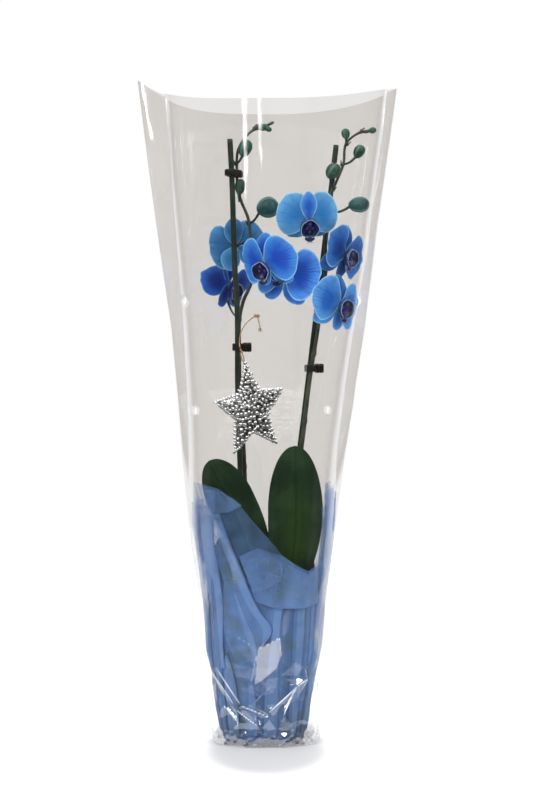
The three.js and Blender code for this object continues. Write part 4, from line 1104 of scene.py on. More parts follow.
class BloomLook(bpy.types.PropertyGroup):
    """The seven blooms."""

    petal_length: size("Petal length", "From the hub to the tip of a petal, in millimetres", 38)
    petal_width: size("Petal width", "Across a petal, in millimetres", 54)
    sepal_length: size("Sepal length", "From the hub to the tip of a sepal, in millimetres", 35)
    sepal_width: size("Sepal width", "Across a sepal, in millimetres", 25)
    thickness: size("Thickness", "Thickness of a petal, in millimetres", 0.9)
    ruffle: size("Ruffle", "Height of the waves along the edge, in millimetres", 1.3)
    veins: FloatProperty(name="Veins", description="How close the veins lie", default=24.0, min=1.0)
    gloss: share("Roughness", "Roughness of the petals", 0.5)
    back: paint("Back", "Wash over the backs of the petals", shade(60, 112, 156))
    lip_dark: paint("Dark lip", "Darkest blue of the lip", shade(6, 10, 36))
    lip_light: paint("Light lip", "Lighter patches of the lip", shade(26, 36, 104))
    lip_rim: paint("Lip rim", "Fine line along the lip's edge", shade(120, 160, 190))
    bumps: paint("Bumps", "Bumps in the throat", shade(58, 52, 150))


class StarLook(bpy.types.PropertyGroup):
    """The bead star and its twine."""

    silver: paint("Silver", "Plating of the beads", (0.98, 0.98, 0.96, 1.0))
    silver_dark: paint("Dull silver", "Dull patches of the plating", (0.72, 0.72, 0.7, 1.0))
    # The frame's dark colour is painted shade: the plate shows as dark gaps between the beads.
    frame: paint("Frame", "Dark frame behind the beads, painting the shade between them", (0.16, 0.16, 0.16, 1.0))
    gloss: share("Roughness", "Roughness of the plating", 0.2)
    jute: paint("Jute", "Lit fibres of the twine", shade(186, 152, 112))
    jute_dark: paint("Dark jute", "Shaded fibres of the twine", shade(96, 70, 44))
    twine: size("Twine", "Diameter of the twine, in millimetres", 1.4)


class StageLook(bpy.types.PropertyGroup):
    """Camera, floor and light."""

    distance: FloatProperty(
        name="Distance", description="From the camera to the plant", default=2.4, min=0.1, unit="LENGTH"
    )
    height: FloatProperty(name="Height", description="Height of the camera", default=0.374, unit="LENGTH")
    lens: FloatProperty(name="Lens", description="Focal length", default=98.18, min=1.0, unit="CAMERA")
    room: paint("Room", "Light of the dark room that glossy skins mirror", (0.022, 0.016, 0.01, 1.0))
    left: share("Left side", "Light of the room's left side that glossy skins mirror", 0.04)
    right: share("Right side", "Light of the room's right side that glossy skins mirror", 0.05)
    film_cast: paint("Film cast", "White of the backdrop as seen through the film", (1.0, 0.955, 0.915, 1.0))
    soft: share("Soft light", "Light from all round on matt skins", 0.5)
    floor: paint("Floor", "Colour of the floor", (0.86, 0.86, 0.87, 1.0))
    # The floor close to the pot is darkened: a painted shadow.
    floor_shadow: paint("Floor near", "Colour of the floor close to the pot", (0.47, 0.47, 0.475, 1.0))


LOOKS = {
    "orchid_stage": StageLook,
    "orchid_star": StarLook,
    "orchid_sleeve": SleeveLook,
    "orchid_wrap": WrapLook,
    "orchid_pot": PotLook,
    "orchid_leaf": LeafLook,
    "orchid_spike": SpikeLook,
    "orchid_bloom": BloomLook,
}


# Stage


def add_lamp(name, at, aim, wide, tall, power):
    """A soft rectangular lamp that isn't seen itself, only in gloss."""
    lamp = bpy.data.lights.new(name, "AREA")
    lamp.shape, lamp.size, lamp.size_y = "RECTANGLE", wide, tall
    lamp.energy = power
    holder = bpy.data.objects.new(name, lamp)
    bpy.context.scene.collection.objects.link(holder)
    holder.location = at
    holder.rotation_mode = "QUATERNION"
    holder.rotation_quaternion = (Vector(aim) - Vector(at)).to_track_quat("-Z", "Z")
    holder.visible_camera = False


def set_world(look):
    """White to the camera, soft light on matt skins, and a dark room with bright sides for gloss."""
    world = bpy.data.worlds.new("studio")
    bpy.context.scene.world = world
    world.use_nodes = True
    tree = world.node_tree
    background = Part(tree, tree.nodes["Background"])
    way = lay(tree, "TexCoord", {})["Generated"]
    parts = lay(tree, "SeparateXYZ", {0: way})
    right = parts[0].slide(0.93, 0.99, 0.0, look.right)
    left = (parts[0] * -1.0).slide(0.93, 0.99, 0.0, look.left)
    behind = parts[1].slide(0.35, 0.75)
    above = parts[2].slide(0.3, 0.62)
    below = (parts[2] * -1.0).slide(0.3, 0.62, 0.0, 0.8)
    lit = behind
    for part in (right, left, above, below):
        lit = calc("MAXIMUM", lit, part)
    mirrored = mix(lit, look.room, (1, 1, 1, 1))
    rays = lay(tree, "LightPath", {})
    soft = mix(rays["Is Glossy Ray"], (look.soft, look.soft, look.soft, 1), mirrored)
    behind_film = rays["Transparent Depth"].slide(0.0, 2.4)
    white = mix(behind_film, (1, 1, 1, 1), look.film_cast)
    background["Color"] = mix(rays["Is Camera Ray"], soft, white)


def floor_finish(look):
    """Pale paper with a painted shadow close to the pot, that glows so that its far edge can't be told."""
    material, tree, shader = finish("floor paper", Roughness=0.6, Specular_IOR_Level=0.25)
    patches = noise(tree, 6.0, 2.0).slide(0.3, 0.7)
    pale = mix(patches * 0.02, look.floor, (0.8, 0.8, 0.81, 1.0))
    spot = here(tree)
    moved = lay(tree, "Mapping", {"Vector": spot, "Location": (0, 0.45, 0), "Scale": (13.5, 6.0, 1)})
    far = lay(tree, "VectorMath", {0: moved[0]}, operation="LENGTH")["Value"]
    # The floor is darkened close to the pot: a painted shadow.
    near = far.slide(0.6, 1.45, 1.0, 0.0)
    shader["Base Color"] = mix(near, pale, look.floor_shadow)
    away = lay(tree, "VectorMath", {0: spot}, operation="LENGTH")["Value"]
    # The glow fades close to the pot, deepening the painted shadow there.
    glow = far.slide(0.7, 1.5) * away.slide(0.4, 1.8, 1.0, 0.85)
    shader["Emission Color"] = mix(glow, (0, 0, 0, 1), (1, 1, 1, 1))
    shader["Emission Strength"] = 0.8
    return material


class ORCHID_OT_stage(bpy.types.Operator):
    """Sets up the camera, a pale floor and soft studio light"""

    bl_idname = "orchid.stage"
    bl_label = "Stage"

    def execute(self, context):
        look = context.scene.orchid_stage
        scene = context.scene
        scene.view_settings.view_transform = "Standard"
        camera = bpy.data.cameras.new("camera")
        camera.lens, camera.sensor_width = look.lens, 36
        camera.clip_start, camera.clip_end = 0.05, 50
        holder = bpy.data.objects.new("camera", camera)
        scene.collection.objects.link(holder)
        holder.location = (0, -look.distance, look.height)
        holder.rotation_euler = (math.pi / 2, 0, 0)
        scene.camera = holder
        set_world(look)

        reach, rows, sides = 4.0, 24, 64
        turns = TAU * np.arange(sides) / sides
        points = [
            (reach * (k / rows) ** 2 * math.cos(turn), reach * (k / rows) ** 2 * math.sin(turn), 0.0)
            for k in range(1, rows + 1)
            for turn in turns
        ]
        faces = grid_faces(rows, sides, closed=True, flip=True)
        faces.append(list(range(sides)))
        mesh = bpy.data.meshes.new("floor")
        mesh.from_pydata(points, [], faces)
        mesh.update()
        mesh.materials.append(floor_finish(look))
        floor = bpy.data.objects.new("floor", mesh)
        scene.collection.objects.link(floor)
        floor.visible_glossy = False

        add_lamp("left box", (-1.2, -1.5, 1.7), (0, 0, 0.4), 0.8, 0.8, 40)
        add_lamp("right box", (1.4, -1.3, 1.6), (0, 0, 0.4), 0.8, 0.8, 26)
        add_lamp("top box", (0, -0.4, 2.1), (0, 0, 0.3), 1.5, 1.2, 20)
        add_lamp("back box", (0.2, 1.7, 1.5), (0, 0, 0.4), 1.6, 1.0, 14)
        return {"FINISHED"}


# Twine and star


def star_place(x, y, z):
    """A place on the star's own plane, with z towards its front."""
    lean, turn = math.radians(STAR_LEAN), math.radians(STAR_TURN)
    x, y, z = x, -z, y
    x, z = x * math.cos(lean) + z * math.sin(lean), -x * math.sin(lean) + z * math.cos(lean)
    x, y = x * math.cos(turn) - y * math.sin(turn), x * math.sin(turn) + y * math.cos(turn)
    return np.stack([x + STAR_AT[0], y + STAR_AT[1], z + STAR_AT[2]], axis=-1)


def star_outline(tip, notch):
    """The ten corners of a star."""
    turns = math.pi * np.arange(10) / 5
    reach = np.where(np.arange(10) % 2, notch, tip)
    return np.stack([np.sin(turns) * reach, np.cos(turns) * reach], axis=1)


def inside_outline(x, y, outline):
    """Whether a place lies inside a closed outline."""
    inside = False
    for (ax, ay), (bx, by) in zip(outline, np.roll(outline, 1, axis=0)):
        if (ay > y) != (by > y) and x < (bx - ax) * (y - ay) / (by - ay) + ax:
            inside = not inside
    return inside


def ball(sides=14, rows=9):
    """A round bead of radius 1."""
    at = np.linspace(0, math.pi, rows + 1)[1:-1]
    turns = TAU * np.arange(sides) / sides
    points = [(0, 0, 1)]
    points += [(math.sin(a) * math.cos(t), math.sin(a) * math.sin(t), math.cos(a)) for a in at for t in turns]
    points.append((0, 0, -1))
    faces = [[0, 1 + i, 1 + (i + 1) % sides] for i in range(sides)]
    faces += [[k + 1 for k in face] for face in grid_faces(rows - 1, sides, closed=True, flip=True)]
    last = len(points) - 1
    faces += [[last, last - sides + (i + 1) % sides, last - sides + i] for i in range(sides)]
    return np.array(points, float), faces


class ORCHID_OT_twine(bpy.types.Operator):
    """Lays the jute twine that hangs the star, with its knot and frayed end"""

    bl_idname = "orchid.twine"
    bl_label = "Twine"

    def execute(self, context):
        look = context.scene.orchid_star
        jute = twine_finish(look)
        line = smooth_line(TWINE_ROUTE, 150)
        ways = headings_of(line)
        side = np.array([0, 1.0, 0])
        offset = look.twine * 0.21
        shape = Shape()
        sides = []
        for way in ways:
            side = unit(side - way * side.dot(way))
            sides.append(side)
        sides = np.array(sides)
        ups = np.cross(ways, sides)
        twist = np.arange(len(line)) * 0.42
        for ply in (0, math.pi):
            swing = np.cos(twist + ply)[:, None] * sides + np.sin(twist + ply)[:, None] * ups
            add_rod(shape, line + swing * offset, look.twine * 0.29, 8)
        cord = put("twine", shape, [jute], ["star_twine"])

        knot = Shape()
        turns = np.linspace(0, TAU, 60)
        across, up = np.sin(turns) + 2 * np.sin(2 * turns), np.cos(turns) - 2 * np.cos(2 * turns)
        swirl = np.stack([across, up, -np.sin(3 * turns)], axis=1)
        add_rod(knot, np.array(TWINE_ROUTE[2]) + swirl * (0.95, 1.0, 1.2), 0.8, 8)
        hairs = np.random.default_rng(3)
        for _ in range(13):
            start = np.array(TWINE_ROUTE[0]) + hairs.normal(0, 0.2, 3)
            end = start + np.array([hairs.normal(0.5, 1.1), hairs.normal(0, 0.8), -hairs.uniform(2.5, 5.5)])
            middle = (start + end) / 2 + hairs.normal(0, 0.5, 3)
            add_rod(knot, smooth_line([start, middle, end], 8), 0.2, 5)
        tied = put("twine_knot", knot, [jute], [])
        [value * MM for value in TWINE_ROUTE[-1]]
        return {"FINISHED"}


def bead_places(chance):
    """The middle and radius of each bead: a row along the outline, then ever smaller ones between."""
    placed = np.zeros((0, 4))

    def settle(x, y, z, radius, packing):
        """Keeps a bead if it has room."""
        gaps = np.linalg.norm(placed[:, :3] - (x, y, z), axis=1)
        if (gaps > packing * (placed[:, 3] + radius)).all():
            return np.vstack([placed, [[x, y, z, radius]]])
        return placed

    outline = star_outline(STAR_TIP - 2, STAR_NOTCH - 1.8)
    for start, end in zip(outline, np.roll(outline, -1, axis=0)):
        run = end - start
        steps = int(np.linalg.norm(run) / 1.1)
        for k in range(steps + 1):
            x, y = start + run * k / steps
            side = 1 if k % 2 else -1
            placed = settle(x, y, side * chance.uniform(0.2, 0.8), chance.uniform(1.5, 2.4), 1.0)
    for side in (1, -1):
        for tries, low, high, deep in BEAD_ROUNDS:
            for _ in range(tries):
                radius = chance.uniform(low, high)
                x, y = chance.uniform(-STAR_TIP, STAR_TIP, 2)
                z = side * (4.9 - radius - chance.uniform(0, deep))
                if inside_outline(x, y, outline):
                    placed = settle(x, y, z, radius, 1.0)
    return placed


class ORCHID_OT_star(bpy.types.Operator):
    """Builds the star of plated beads"""

    bl_idname = "orchid.star"
    bl_label = "Bead star"

    def execute(self, context):
        look = context.scene.orchid_star
        chance = np.random.default_rng(5)
        placed = bead_places(chance)
        shape = Shape()
        ball_points, ball_faces = ball(12, 8)
        for x, y, z, radius in placed:
            spun = ball_points * radius + (x, y, z)
            shape.add(star_place(*spun.T), ball_faces)
        # A plate for the wire and glue behind the beads, dark so that it paints the shade in the gaps between
        # them.
        plate = star_outline(STAR_TIP - 6, STAR_NOTCH - 5)
        flat = np.vstack([np.column_stack([plate, np.full(10, z)]) for z in (0.8, -0.8)])
        faces = [list(range(10))[::-1], [10 + i for i in range(10)]]
        faces += [[i, (i + 1) % 10, 10 + (i + 1) % 10, 10 + i] for i in range(10)]
        shape.add(star_place(*flat.T), faces, finish=1)
        bright = bead_finish(look, "silver plating", look.silver_dark, look.silver)
        frame_and_gap_shade = bead_finish(look, "frame wire and gap shade", look.frame, look.silver_dark)
        put("bead_star", shape, [bright, frame_and_gap_shade])
        return {"FINISHED"}


# Film sleeve


def sleeve_place(turns, heights, out=0.0):
    """A place on the sleeve at a turn from +X towards +Y and a height, pushed out by a distance."""
    turns, heights = np.asarray(turns, float), np.asarray(heights, float)
    left, right, depth = read(SLEEVE_STATIONS, heights)
    fin_left, fin_right = read(SLEEVE_FINS, heights)
    c, s = np.cos(turns), np.sin(turns)
    reach = np.where(c < 0, left, right)
    begin = np.where(c < 0, fin_left, fin_right)
    power = 2 - 0.24 * heights / SLEEVE_MIDDLE
    plain_x = np.abs(c) ** (2 / power)
    plain_y = np.abs(s) ** (2 / power)
    # Share of the way from the middle of the front or back to the side seam
    way = np.arccos(np.clip(np.abs(s), 0, 1)) / (math.pi / 2)
    body = np.clip(way / 0.8, 0, 1) * math.pi / 2
    fin = np.clip((way - 0.8) / 0.2, 0, 1)
    edge = 0.17
    fin_x = begin * np.sin(body) + (1 - begin) * fin
    fin_y = np.where(way < 0.8, edge + (1 - edge) * np.cos(body), edge * (1 - fin) ** 0.8)
    blend = ease(200, 330, heights)
    x = np.sign(c) * reach * (plain_x + (fin_x - plain_x) * blend)
    y = np.sign(s) * depth * (plain_y + (fin_y - plain_y) * blend)
    gather = 1 + 0.02 * np.sin(9 * turns) * np.maximum(0, 1 - heights / 90)
    far = np.maximum(np.hypot(x, y), 1.0)
    spread = gather + out / far
    low = (SLEEVE_CORNERS[0] - SLEEVE_MIDDLE) * (np.maximum(-x, 0) / left) ** 4
    high = (SLEEVE_CORNERS[1] - SLEEVE_MIDDLE) * (np.maximum(x, 0) / right) ** 2.5
    rise = np.where(x < 0, low, high) * (heights / SLEEVE_MIDDLE) ** 4
    return np.stack([x * spread, y * spread, heights + rise], axis=-1)


def sleeve_turn(x, height, front):
    """The turn at which the front or the back of the sleeve passes x at a height."""
    turns = np.linspace(math.pi, TAU, 500) if front else np.linspace(math.pi, 0, 500)
    found = sleeve_place(turns, np.full(500, height))[:, 0]
    return float(np.interp(x, found, turns))


def film_heights():
    """Rows of the sleeve from its foot to its rim, closer where it is crumpled or punched."""
    rows, at = [0.4], 0.4
    while at < SLEEVE_MIDDLE - 1:
        near = any(abs(at - z) < 9 for _, z in AIR_HOLES)
        at += 1.4 if near else 1.7 if at < 100 else 3.0 if at < 230 else 5.0
        rows.append(min(at, SLEEVE_MIDDLE))
    return np.array(rows)


def film_relief(turns, heights, amount):
    """How far the film stands out at each place, and how sharply it is folded there."""
    chance = np.random.default_rng(21)
    spots, lifts = [], []
    round_it = TAU * FILM_GIRTH
    for height, width, lift in FILM_CRUMPLE:
        count = int(round_it / width)
        for k in range(count):
            along = (k + chance.uniform(-0.35, 0.35)) * round_it / count
            beside = math.cos(along / FILM_GIRTH) ** 2 if height > 90 else 1.0
            spots.append((along, height + chance.uniform(-0.4, 0.4) * min(width, 40)))
            lifts.append(lift * (0.4 + 0.6 * beside) * chance.uniform(0.0, 1.0) ** 1.3)
    links = []
    for ends in FILM_FOLDS:
        made = []
        for x, z in ends:
            along = sleeve_turn(x, z, True) * FILM_GIRTH
            spots.append((along, z))
            lifts.append(5.5)
            made.append(len(spots) - 1)
        links.append(tuple(made))
    spots, lifts = np.array(spots), np.array(lifts)
    # The pattern carries on round the seam.
    before, after = spots - (round_it, 0), spots + (round_it, 0)
    spots, lifts = np.vstack([spots, before, after]), np.tile(lifts, 3)
    places = np.stack([turns * FILM_GIRTH, heights], axis=-1).reshape(-1, 2)
    height, gap = facets(spots.tolist(), lifts, links, places)
    low = 1 - ease(25, 110, places[:, 1])
    crease = 0.55 * np.exp(-((gap / 0.5) ** 2)) * low * (0.35 + 0.65 * np.sin(places[:, 0] * 0.9) ** 2)
    # The crease mark along each sharp fold is both the fold's whitening and a painted highlight line.
    for start, end in links:
        a, b = spots[start], spots[end]
        run = b - a
        at = np.clip(((places - a) @ run) / (run @ run), 0, 1)
        gap = np.linalg.norm(places - a - at[:, None] * run, axis=1)
        crease = np.maximum(crease, np.exp(-((gap / (0.55 + 0.5 * np.sin(math.pi * at))) ** 2)))
    return height.reshape(turns.shape) * amount, crease.reshape(turns.shape)


def punch_holes(turns, heights):
    """Moves the film's points near an air hole onto its rim, and tells which ones lie inside it."""
    removed = np.zeros(heights.shape, bool)
    for x, z in AIR_HOLES:
        for front in (True, False):
            grid = sleeve_place(turns, heights)
            same = (grid[..., 1] < 0) == front
            dx, dz = (grid[..., 0] - x) / AIR_HOLE[0], (grid[..., 2] - z) / AIR_HOLE[1]
            far = np.hypot(dx, dz)
            close = same & (far < 1.5)
            for k, i in zip(*np.nonzero(close)):
                if far[k, i] < 0.62:
                    removed[k, i] = True
                    continue
                turn = math.atan2(dz[k, i], dx[k, i])
                height = heights[k, i] + AIR_HOLE[1] * (math.sin(turn) - dz[k, i])
                turns[k, i] = sleeve_turn(x + AIR_HOLE[0] * math.cos(turn), height, front)
                heights[k, i] = height
    return removed


def ripple_foot(grid, turns, heights, crease):
    """Ruffles the film near its foot, and gives its creases with those between the ruffles."""
    chance = np.random.default_rng(12)
    near_foot = np.maximum(0, 1 - heights / 26)
    ripple = np.zeros(heights.shape)
    for pitch in (10, 18, 26, 38, 58):
        turn, tilt = chance.uniform(0, TAU), chance.uniform(-0.5, 0.5)
        ripple += np.abs(np.sin(pitch * turns / 2 + turn + tilt * heights)) / 5
    crease = np.maximum(crease, 0.72 * near_foot**0.6 * np.clip((0.92 - ripple) * 2.2, 0, 1))
    ruffle = 3.4 * (ripple - 0.64) * near_foot
    grid[..., :2] *= 1 + (ruffle / np.maximum(np.hypot(grid[..., 0], grid[..., 1]), 1))[..., None]
    return crease


def draw_highlight_streaks(grid, crease):
    """The film's crease marks with painted highlight streaks, along lines where it would catch the light."""
    for foot, low, head, high, wide, front, strength in FILM_HIGHLIGHT_STREAKS:
        z = grid[..., 2]
        along = np.clip((z - low) / (high - low), 0, 1)
        middle = foot + (head - foot) * along + 0.5 * np.sin(z / 23) + 0.3 * np.sin(z / 7)
        spread = wide * (0.35 + 0.65 * along)
        near = np.exp(-(((grid[..., 0] - middle) / spread) ** 2)) * ((grid[..., 1] < 0) == front)
        broken = 0.9 + 0.1 * np.sin(z / 5.3 + foot)
        ends = ease(low, low + 0.35 * (high - low), z) * (1 - ease(high - 10, high, z))
        # A streak is painted highlight only: it raises the crease mark, which whitens the film.
        crease = np.maximum(crease, strength * near * ends * broken)
    return crease


def draw_curls(grid, heights, crease):
    """Adds the curled highlight lines and a painted lamp reflection patch on the front to the film's crease
    marks.
    """
    front = (grid[..., 1] < 0) & (heights < 140)
    spots = np.stack([grid[front][:, 0], heights[front]], axis=1)
    drawn = np.zeros(len(spots))
    for curl in FILM_CURLS:
        line = smooth_line([(x, 0, z) for x, z in curl], 60)[:, ::2]
        gaps = np.linalg.norm(spots[:, None] - line[None], axis=2).min(axis=1)
        drawn = np.maximum(drawn, 0.75 * np.exp(-((gaps / 0.9) ** 2)))
    # held marks the painted lamp reflection patch.
    held = np.array([inside_outline(x, z, FILM_LAMP_GLARE) for x, z in spots])
    crease[front] = np.maximum(crease[front], np.maximum(drawn, 0.58 * held))


def tucked_foot(foot, turns, steps):
    """Rings of film from the foot inwards, tucked together under the pot."""
    chance = np.random.default_rng(4)
    under = [foot]
    for k in range(1, steps + 1):
        inward = 1 - k / (steps + 0.6)
        ring = foot * (inward, inward, 1)
        ring[:, 2] = 0.15 + 0.75 * k / steps + 0.35 * np.sin(24 * turns + 1.7 * k) * inward
        ring[:, 2] = np.maximum(ring[:, 2] + chance.uniform(-0.1, 0.1, len(turns)), 0.1)
        under.append(ring)
    return np.array(under)


class ORCHID_OT_sleeve(bpy.types.Operator):
    """Builds the crumpled film sleeve with its side fins and air holes"""

    bl_idname = "orchid.sleeve"
    bl_label = "Film sleeve"

    def execute(self, context):
        look = context.scene.orchid_sleeve
        rows, sides = film_heights(), 320
        heights, turns = np.meshgrid(rows, TAU * np.arange(sides) / sides, indexing="ij")
        heights, turns = heights.copy(), turns.copy()
        removed = punch_holes(turns, heights)
        relief, crease = film_relief(turns, heights, look.crumple)
        grid = sleeve_place(turns, heights, relief)
        crease = ripple_foot(grid, turns, heights, crease)
        crease = draw_highlight_streaks(grid, crease)
        draw_curls(grid, heights, crease)
        near_foot = np.maximum(0, 1 - heights / 14)
        grid[..., 2] = np.maximum(grid[..., 2] - 0.2 * near_foot, 0.15)
        faces = []
        for face in grid_faces(len(rows), sides, closed=True):
            spots = [(index // sides, index % sides) for index in face]
            x, _, z = np.mean([grid[spot] for spot in spots], axis=0)
            fars = [math.hypot((x - a) / AIR_HOLE[0], (z - b) / AIR_HOLE[1]) for a, b in AIR_HOLES]
            if not any(removed[spot] for spot in spots) and min(fars) >= 0.93:
                faces.append(face)
        marks = np.stack([heights / SLEEVE_MIDDLE, turns / TAU, crease], axis=-1)
        shape = Shape()
        shape.add(grid, faces, marks.reshape(-1, 3))

        shape.add(tucked_foot(grid[0], turns[0], FOOT_STEPS), floor_faces(FOOT_STEPS, sides))
        sleeve = put("film_sleeve", shape, [film_finish(look)])
        weld(sleeve, 0.00002)
        return {"FINISHED"}


def weld(piece, gap):
    """Joins points that lie on each other and drops points that no face uses."""
    work = bmesh.new()
    work.from_mesh(piece.data)
    bmesh.ops.remove_doubles(work, verts=work.verts, dist=gap)
    loose = [corner for corner in work.verts if not corner.link_faces]
    bmesh.ops.delete(work, geom=loose, context="VERTS")
    work.to_mesh(piece.data)
    work.free()


# Non-woven wrap


def wrap_place(bearings, heights, out):
    """A place on the wrap at a bearing in radians and a height, pushed out by a distance."""
    left, right, depth = read(WRAP_STATIONS, heights)
    c, s = np.cos(bearings), np.sin(bearings)
    x, y = c * np.where(c < 0, left, right), s * depth
    pleat = 0.5 + 0.5 * np.sin(9 * bearings + heights * 0.012)
    far = np.hypot(x, y)
    spread = 1 + (pleat * 1.5 * np.minimum(1, heights / 60) + out) / far
    return np.stack([x * spread, y * spread, heights], axis=-1)


def wrap_bearing(x, height, front=True):
    """The bearing at which the front of the wrap passes x at a height."""
    left, right, _ = read(WRAP_STATIONS, height)
    c = np.clip(x / np.where(np.asarray(x) < 0, left, right), -0.995, 0.995)
    return TAU - np.arccos(c) if front else np.arccos(c)


def wrap_creases(look):
    """How far the cloth's creases stand out, as a function of bearings and heights."""
    chance = np.random.default_rng(8)
    spots, lifts = [], []
    for height in range(0, 300, 24):
        count = 17
        for k in range(count):
            along = (k + 0.5 * (height % 48 > 0) + chance.uniform(-0.36, 0.36)) * TAU * WRAP_GIRTH / count
            spots.append((along, height + chance.uniform(-10, 10)))
            lifts.append(look.relief * chance.uniform(0, 1))
    spots = np.array(spots)
    spots = np.vstack([spots, spots - (TAU * WRAP_GIRTH, 0), spots + (TAU * WRAP_GIRTH, 0)])
    lifts = np.tile(lifts, 3)

    def creases(bearings, heights):
        """The stand-off at each place."""
        places = np.stack([bearings * WRAP_GIRTH, heights], axis=-1).reshape(-1, 2)
        found, _ = facets(spots.tolist(), lifts, [], places)
        return found.reshape(heights.shape) * ease(0, 25, heights)

    return creases


def spread_grid(table, rows, columns, straight=False):
    """A grid of control points, filled in to rows by columns, smoothly or with straight columns."""
    if straight:
        at = np.linspace(0, len(table[0]) - 1, columns)
        whole = np.arange(len(table[0]))
        table = [on_line(at, whole, np.array(line)) for line in table]
    else:
        table = [smooth_line(line, columns) for line in table]
    stacked = np.stack(table, axis=0)
    filled = [smooth_line(stacked[:, i], rows) for i in range(columns)]
    return np.stack(filled, axis=1)


class ORCHID_OT_wrap(bpy.types.Operator):
    """Folds the blue wrap round the pot, with its pleats and the turned-down flap"""

    bl_idname = "orchid.wrap"
    bl_label = "Non-woven wrap"

    def execute(self, context):
        look = context.scene.orchid_wrap
        chance = np.random.default_rng(9)
        rows, sides = 96, 360
        shares = np.linspace(0, 1, rows) ** 0.95
        share_of, bearings = np.meshgrid(shares, TAU * np.arange(sides) / sides, indexing="ij")
        edge = read(WRAP_EDGE, np.degrees(bearings))[0]
        heights = WRAP_FOOT + (edge - WRAP_FOOT) * share_of
        creases = wrap_creases(look)
        grid = wrap_place(bearings, heights, creases(bearings, heights))
        shape = Shape()
        pleat = 0.5 + 0.5 * np.sin(9 * bearings + heights * 0.012)
        low = 1 - ease(150, 215, heights)
        # Painted light on the pleats' crests and painted shade in their troughs, low on the wrap.
        marks = np.stack([0.5 * pleat**4 * low, 0.45 * (1 - pleat) ** 4 * low, share_of**6], axis=-1)
        shape.add(grid, grid_faces(rows, sides, closed=True), marks.reshape(-1, 3))

        steps = 8
        under = [grid[0] * (1 - k / (steps + 0.5), 1 - k / (steps + 0.5), 1) for k in range(steps + 1)]
        shape.add(np.array(under), floor_faces(steps, sides))

        def lay_over(bearing, height, out, bright, dark, gain=1.0):
            """Lays an extra layer of cloth over the creases of the one below, lit over a share of its
            width from one side, with a shaded line along that side."""
            rows, columns = height.shape
            down, over = np.meshgrid(np.linspace(-1, 1, rows), np.linspace(0, 1, columns), indexing="ij")
            border = np.maximum(np.abs(down), np.abs(2 * over - 1))
            # edge is a painted shaded line along one border, and lit is painted light over a share of the
            # width.
            edge = dark * ease(0.93, 0.97, over)
            lit = ease(0.93 - bright, 1.07 - bright, over) * ease(-1, -0.7, down)
            lit = gain * (0.28 + 0.72 * lit) * (1 - edge)
            marks = np.stack([lit, edge, border], axis=-1).reshape(-1, 3)
            followed = 0.45 if out.min() > 1.3 else 1.0
            grid = wrap_place(bearing, height, followed * creases(bearing, height) + out)
            shape.add(grid, grid_faces(rows, columns), marks)

        def lay_table(control, rows, columns, bulge, bright, dark, gain=1.0, straight=False):
            """Lays cloth over a grid of x, height and stand-off, raised along its middle."""
            filled = spread_grid(control, rows, columns, straight)
            middle = np.sin(np.linspace(0, math.pi, columns)) ** 0.6
            bearing = wrap_bearing(filled[..., 0], filled[..., 1])
            out = filled[..., 2] + bulge * middle[None, :]
            lay_over(bearing, filled[..., 1], out, bright, dark, gain)

        crest = (0, 0.4, 0.8, 1.6, 0)
        for stand, bright, dark, left, right in PLEATS:
            left = smooth_line([(x, z, 0.0) for x, z in left], 8)
            right = smooth_line([(x, z, 0.0) for x, z in right], 8)
            control = []
            for a, b in zip(left, right):
                row = [a + (b - a) * at for at in (0, 0.12, 0.4, 0.88, 1)]
                control.append([(x, z, stand + out) for (x, z, _), out in zip(row, crest)])
            lay_table(control, 44, 34, 0.3, bright, dark)
        lay_table(FLAP, 34, 72, 0.3, 0.45, 0.0, 0.8, True)
        lay_table(FLAP_CORNER, 24, 34, 0.2, 1.2, 0.0, 0.5, True)
        lay_table(TOP_CORNER, 24, 40, 0.2, 0.3, 0.0, 0.35, True)
        for bearing in BACK_PLEATS:
            top = read(WRAP_EDGE, bearing)[0]
            wide = math.radians(chance.uniform(7, 11))
            lean = math.radians(chance.uniform(-10, 10))
            heights = np.linspace(12, top - chance.uniform(2, 24), 40)
            at, height = np.meshgrid(np.linspace(0, 1, 12), heights)
            spin = math.radians(bearing) + wide * (at - 0.5) * (0.6 + height / top) + lean * height / top
            lay_over(spin, height, 0.7 + 1.5 * np.sin(math.pi * at) ** 0.7, 0.6, 0.4, 0.4)
        cloth = put("nonwoven_wrap", shape, [wrap_finish(look)])
        weld(cloth, 0.00002)
        return {"FINISHED"}


# Pot, bark, crown and roots


def chip_shape(chance):
    """One chip of bark: a broken slab with uneven faces."""
    points, faces = ball(10, 8)
    squared = np.sign(points) * np.abs(points) ** 0.45
    rough = 1 + 0.16 * np.sin(points @ chance.normal(0, 3.2, 3) + chance.uniform(0, 6))
    rough *= 1 + 0.1 * np.sin(points @ chance.normal(0, 6.0, 3))
    size_of = np.array([chance.uniform(5, 9.5), chance.uniform(3.4, 6.2), chance.uniform(1.6, 3.0)])
    return squared * rough[:, None] * size_of, faces


def spin_about(axis, angle):
    """The matrix that turns by an angle about axis 0, 1 or 2."""
    made, a, b = np.eye(3), (axis + 1) % 3, (axis + 2) % 3
    made[a, a] = made[b, b] = math.cos(angle)
    made[a, b], made[b, a] = -math.sin(angle), math.sin(angle)
    return made


def round_pot(reach, turns, z):
    """Places round the pot's middle."""
    spots = (POT_CENTRE + reach * np.cos(turns), reach * np.sin(turns), z)
    return np.stack(np.broadcast_arrays(*spots), axis=-1)


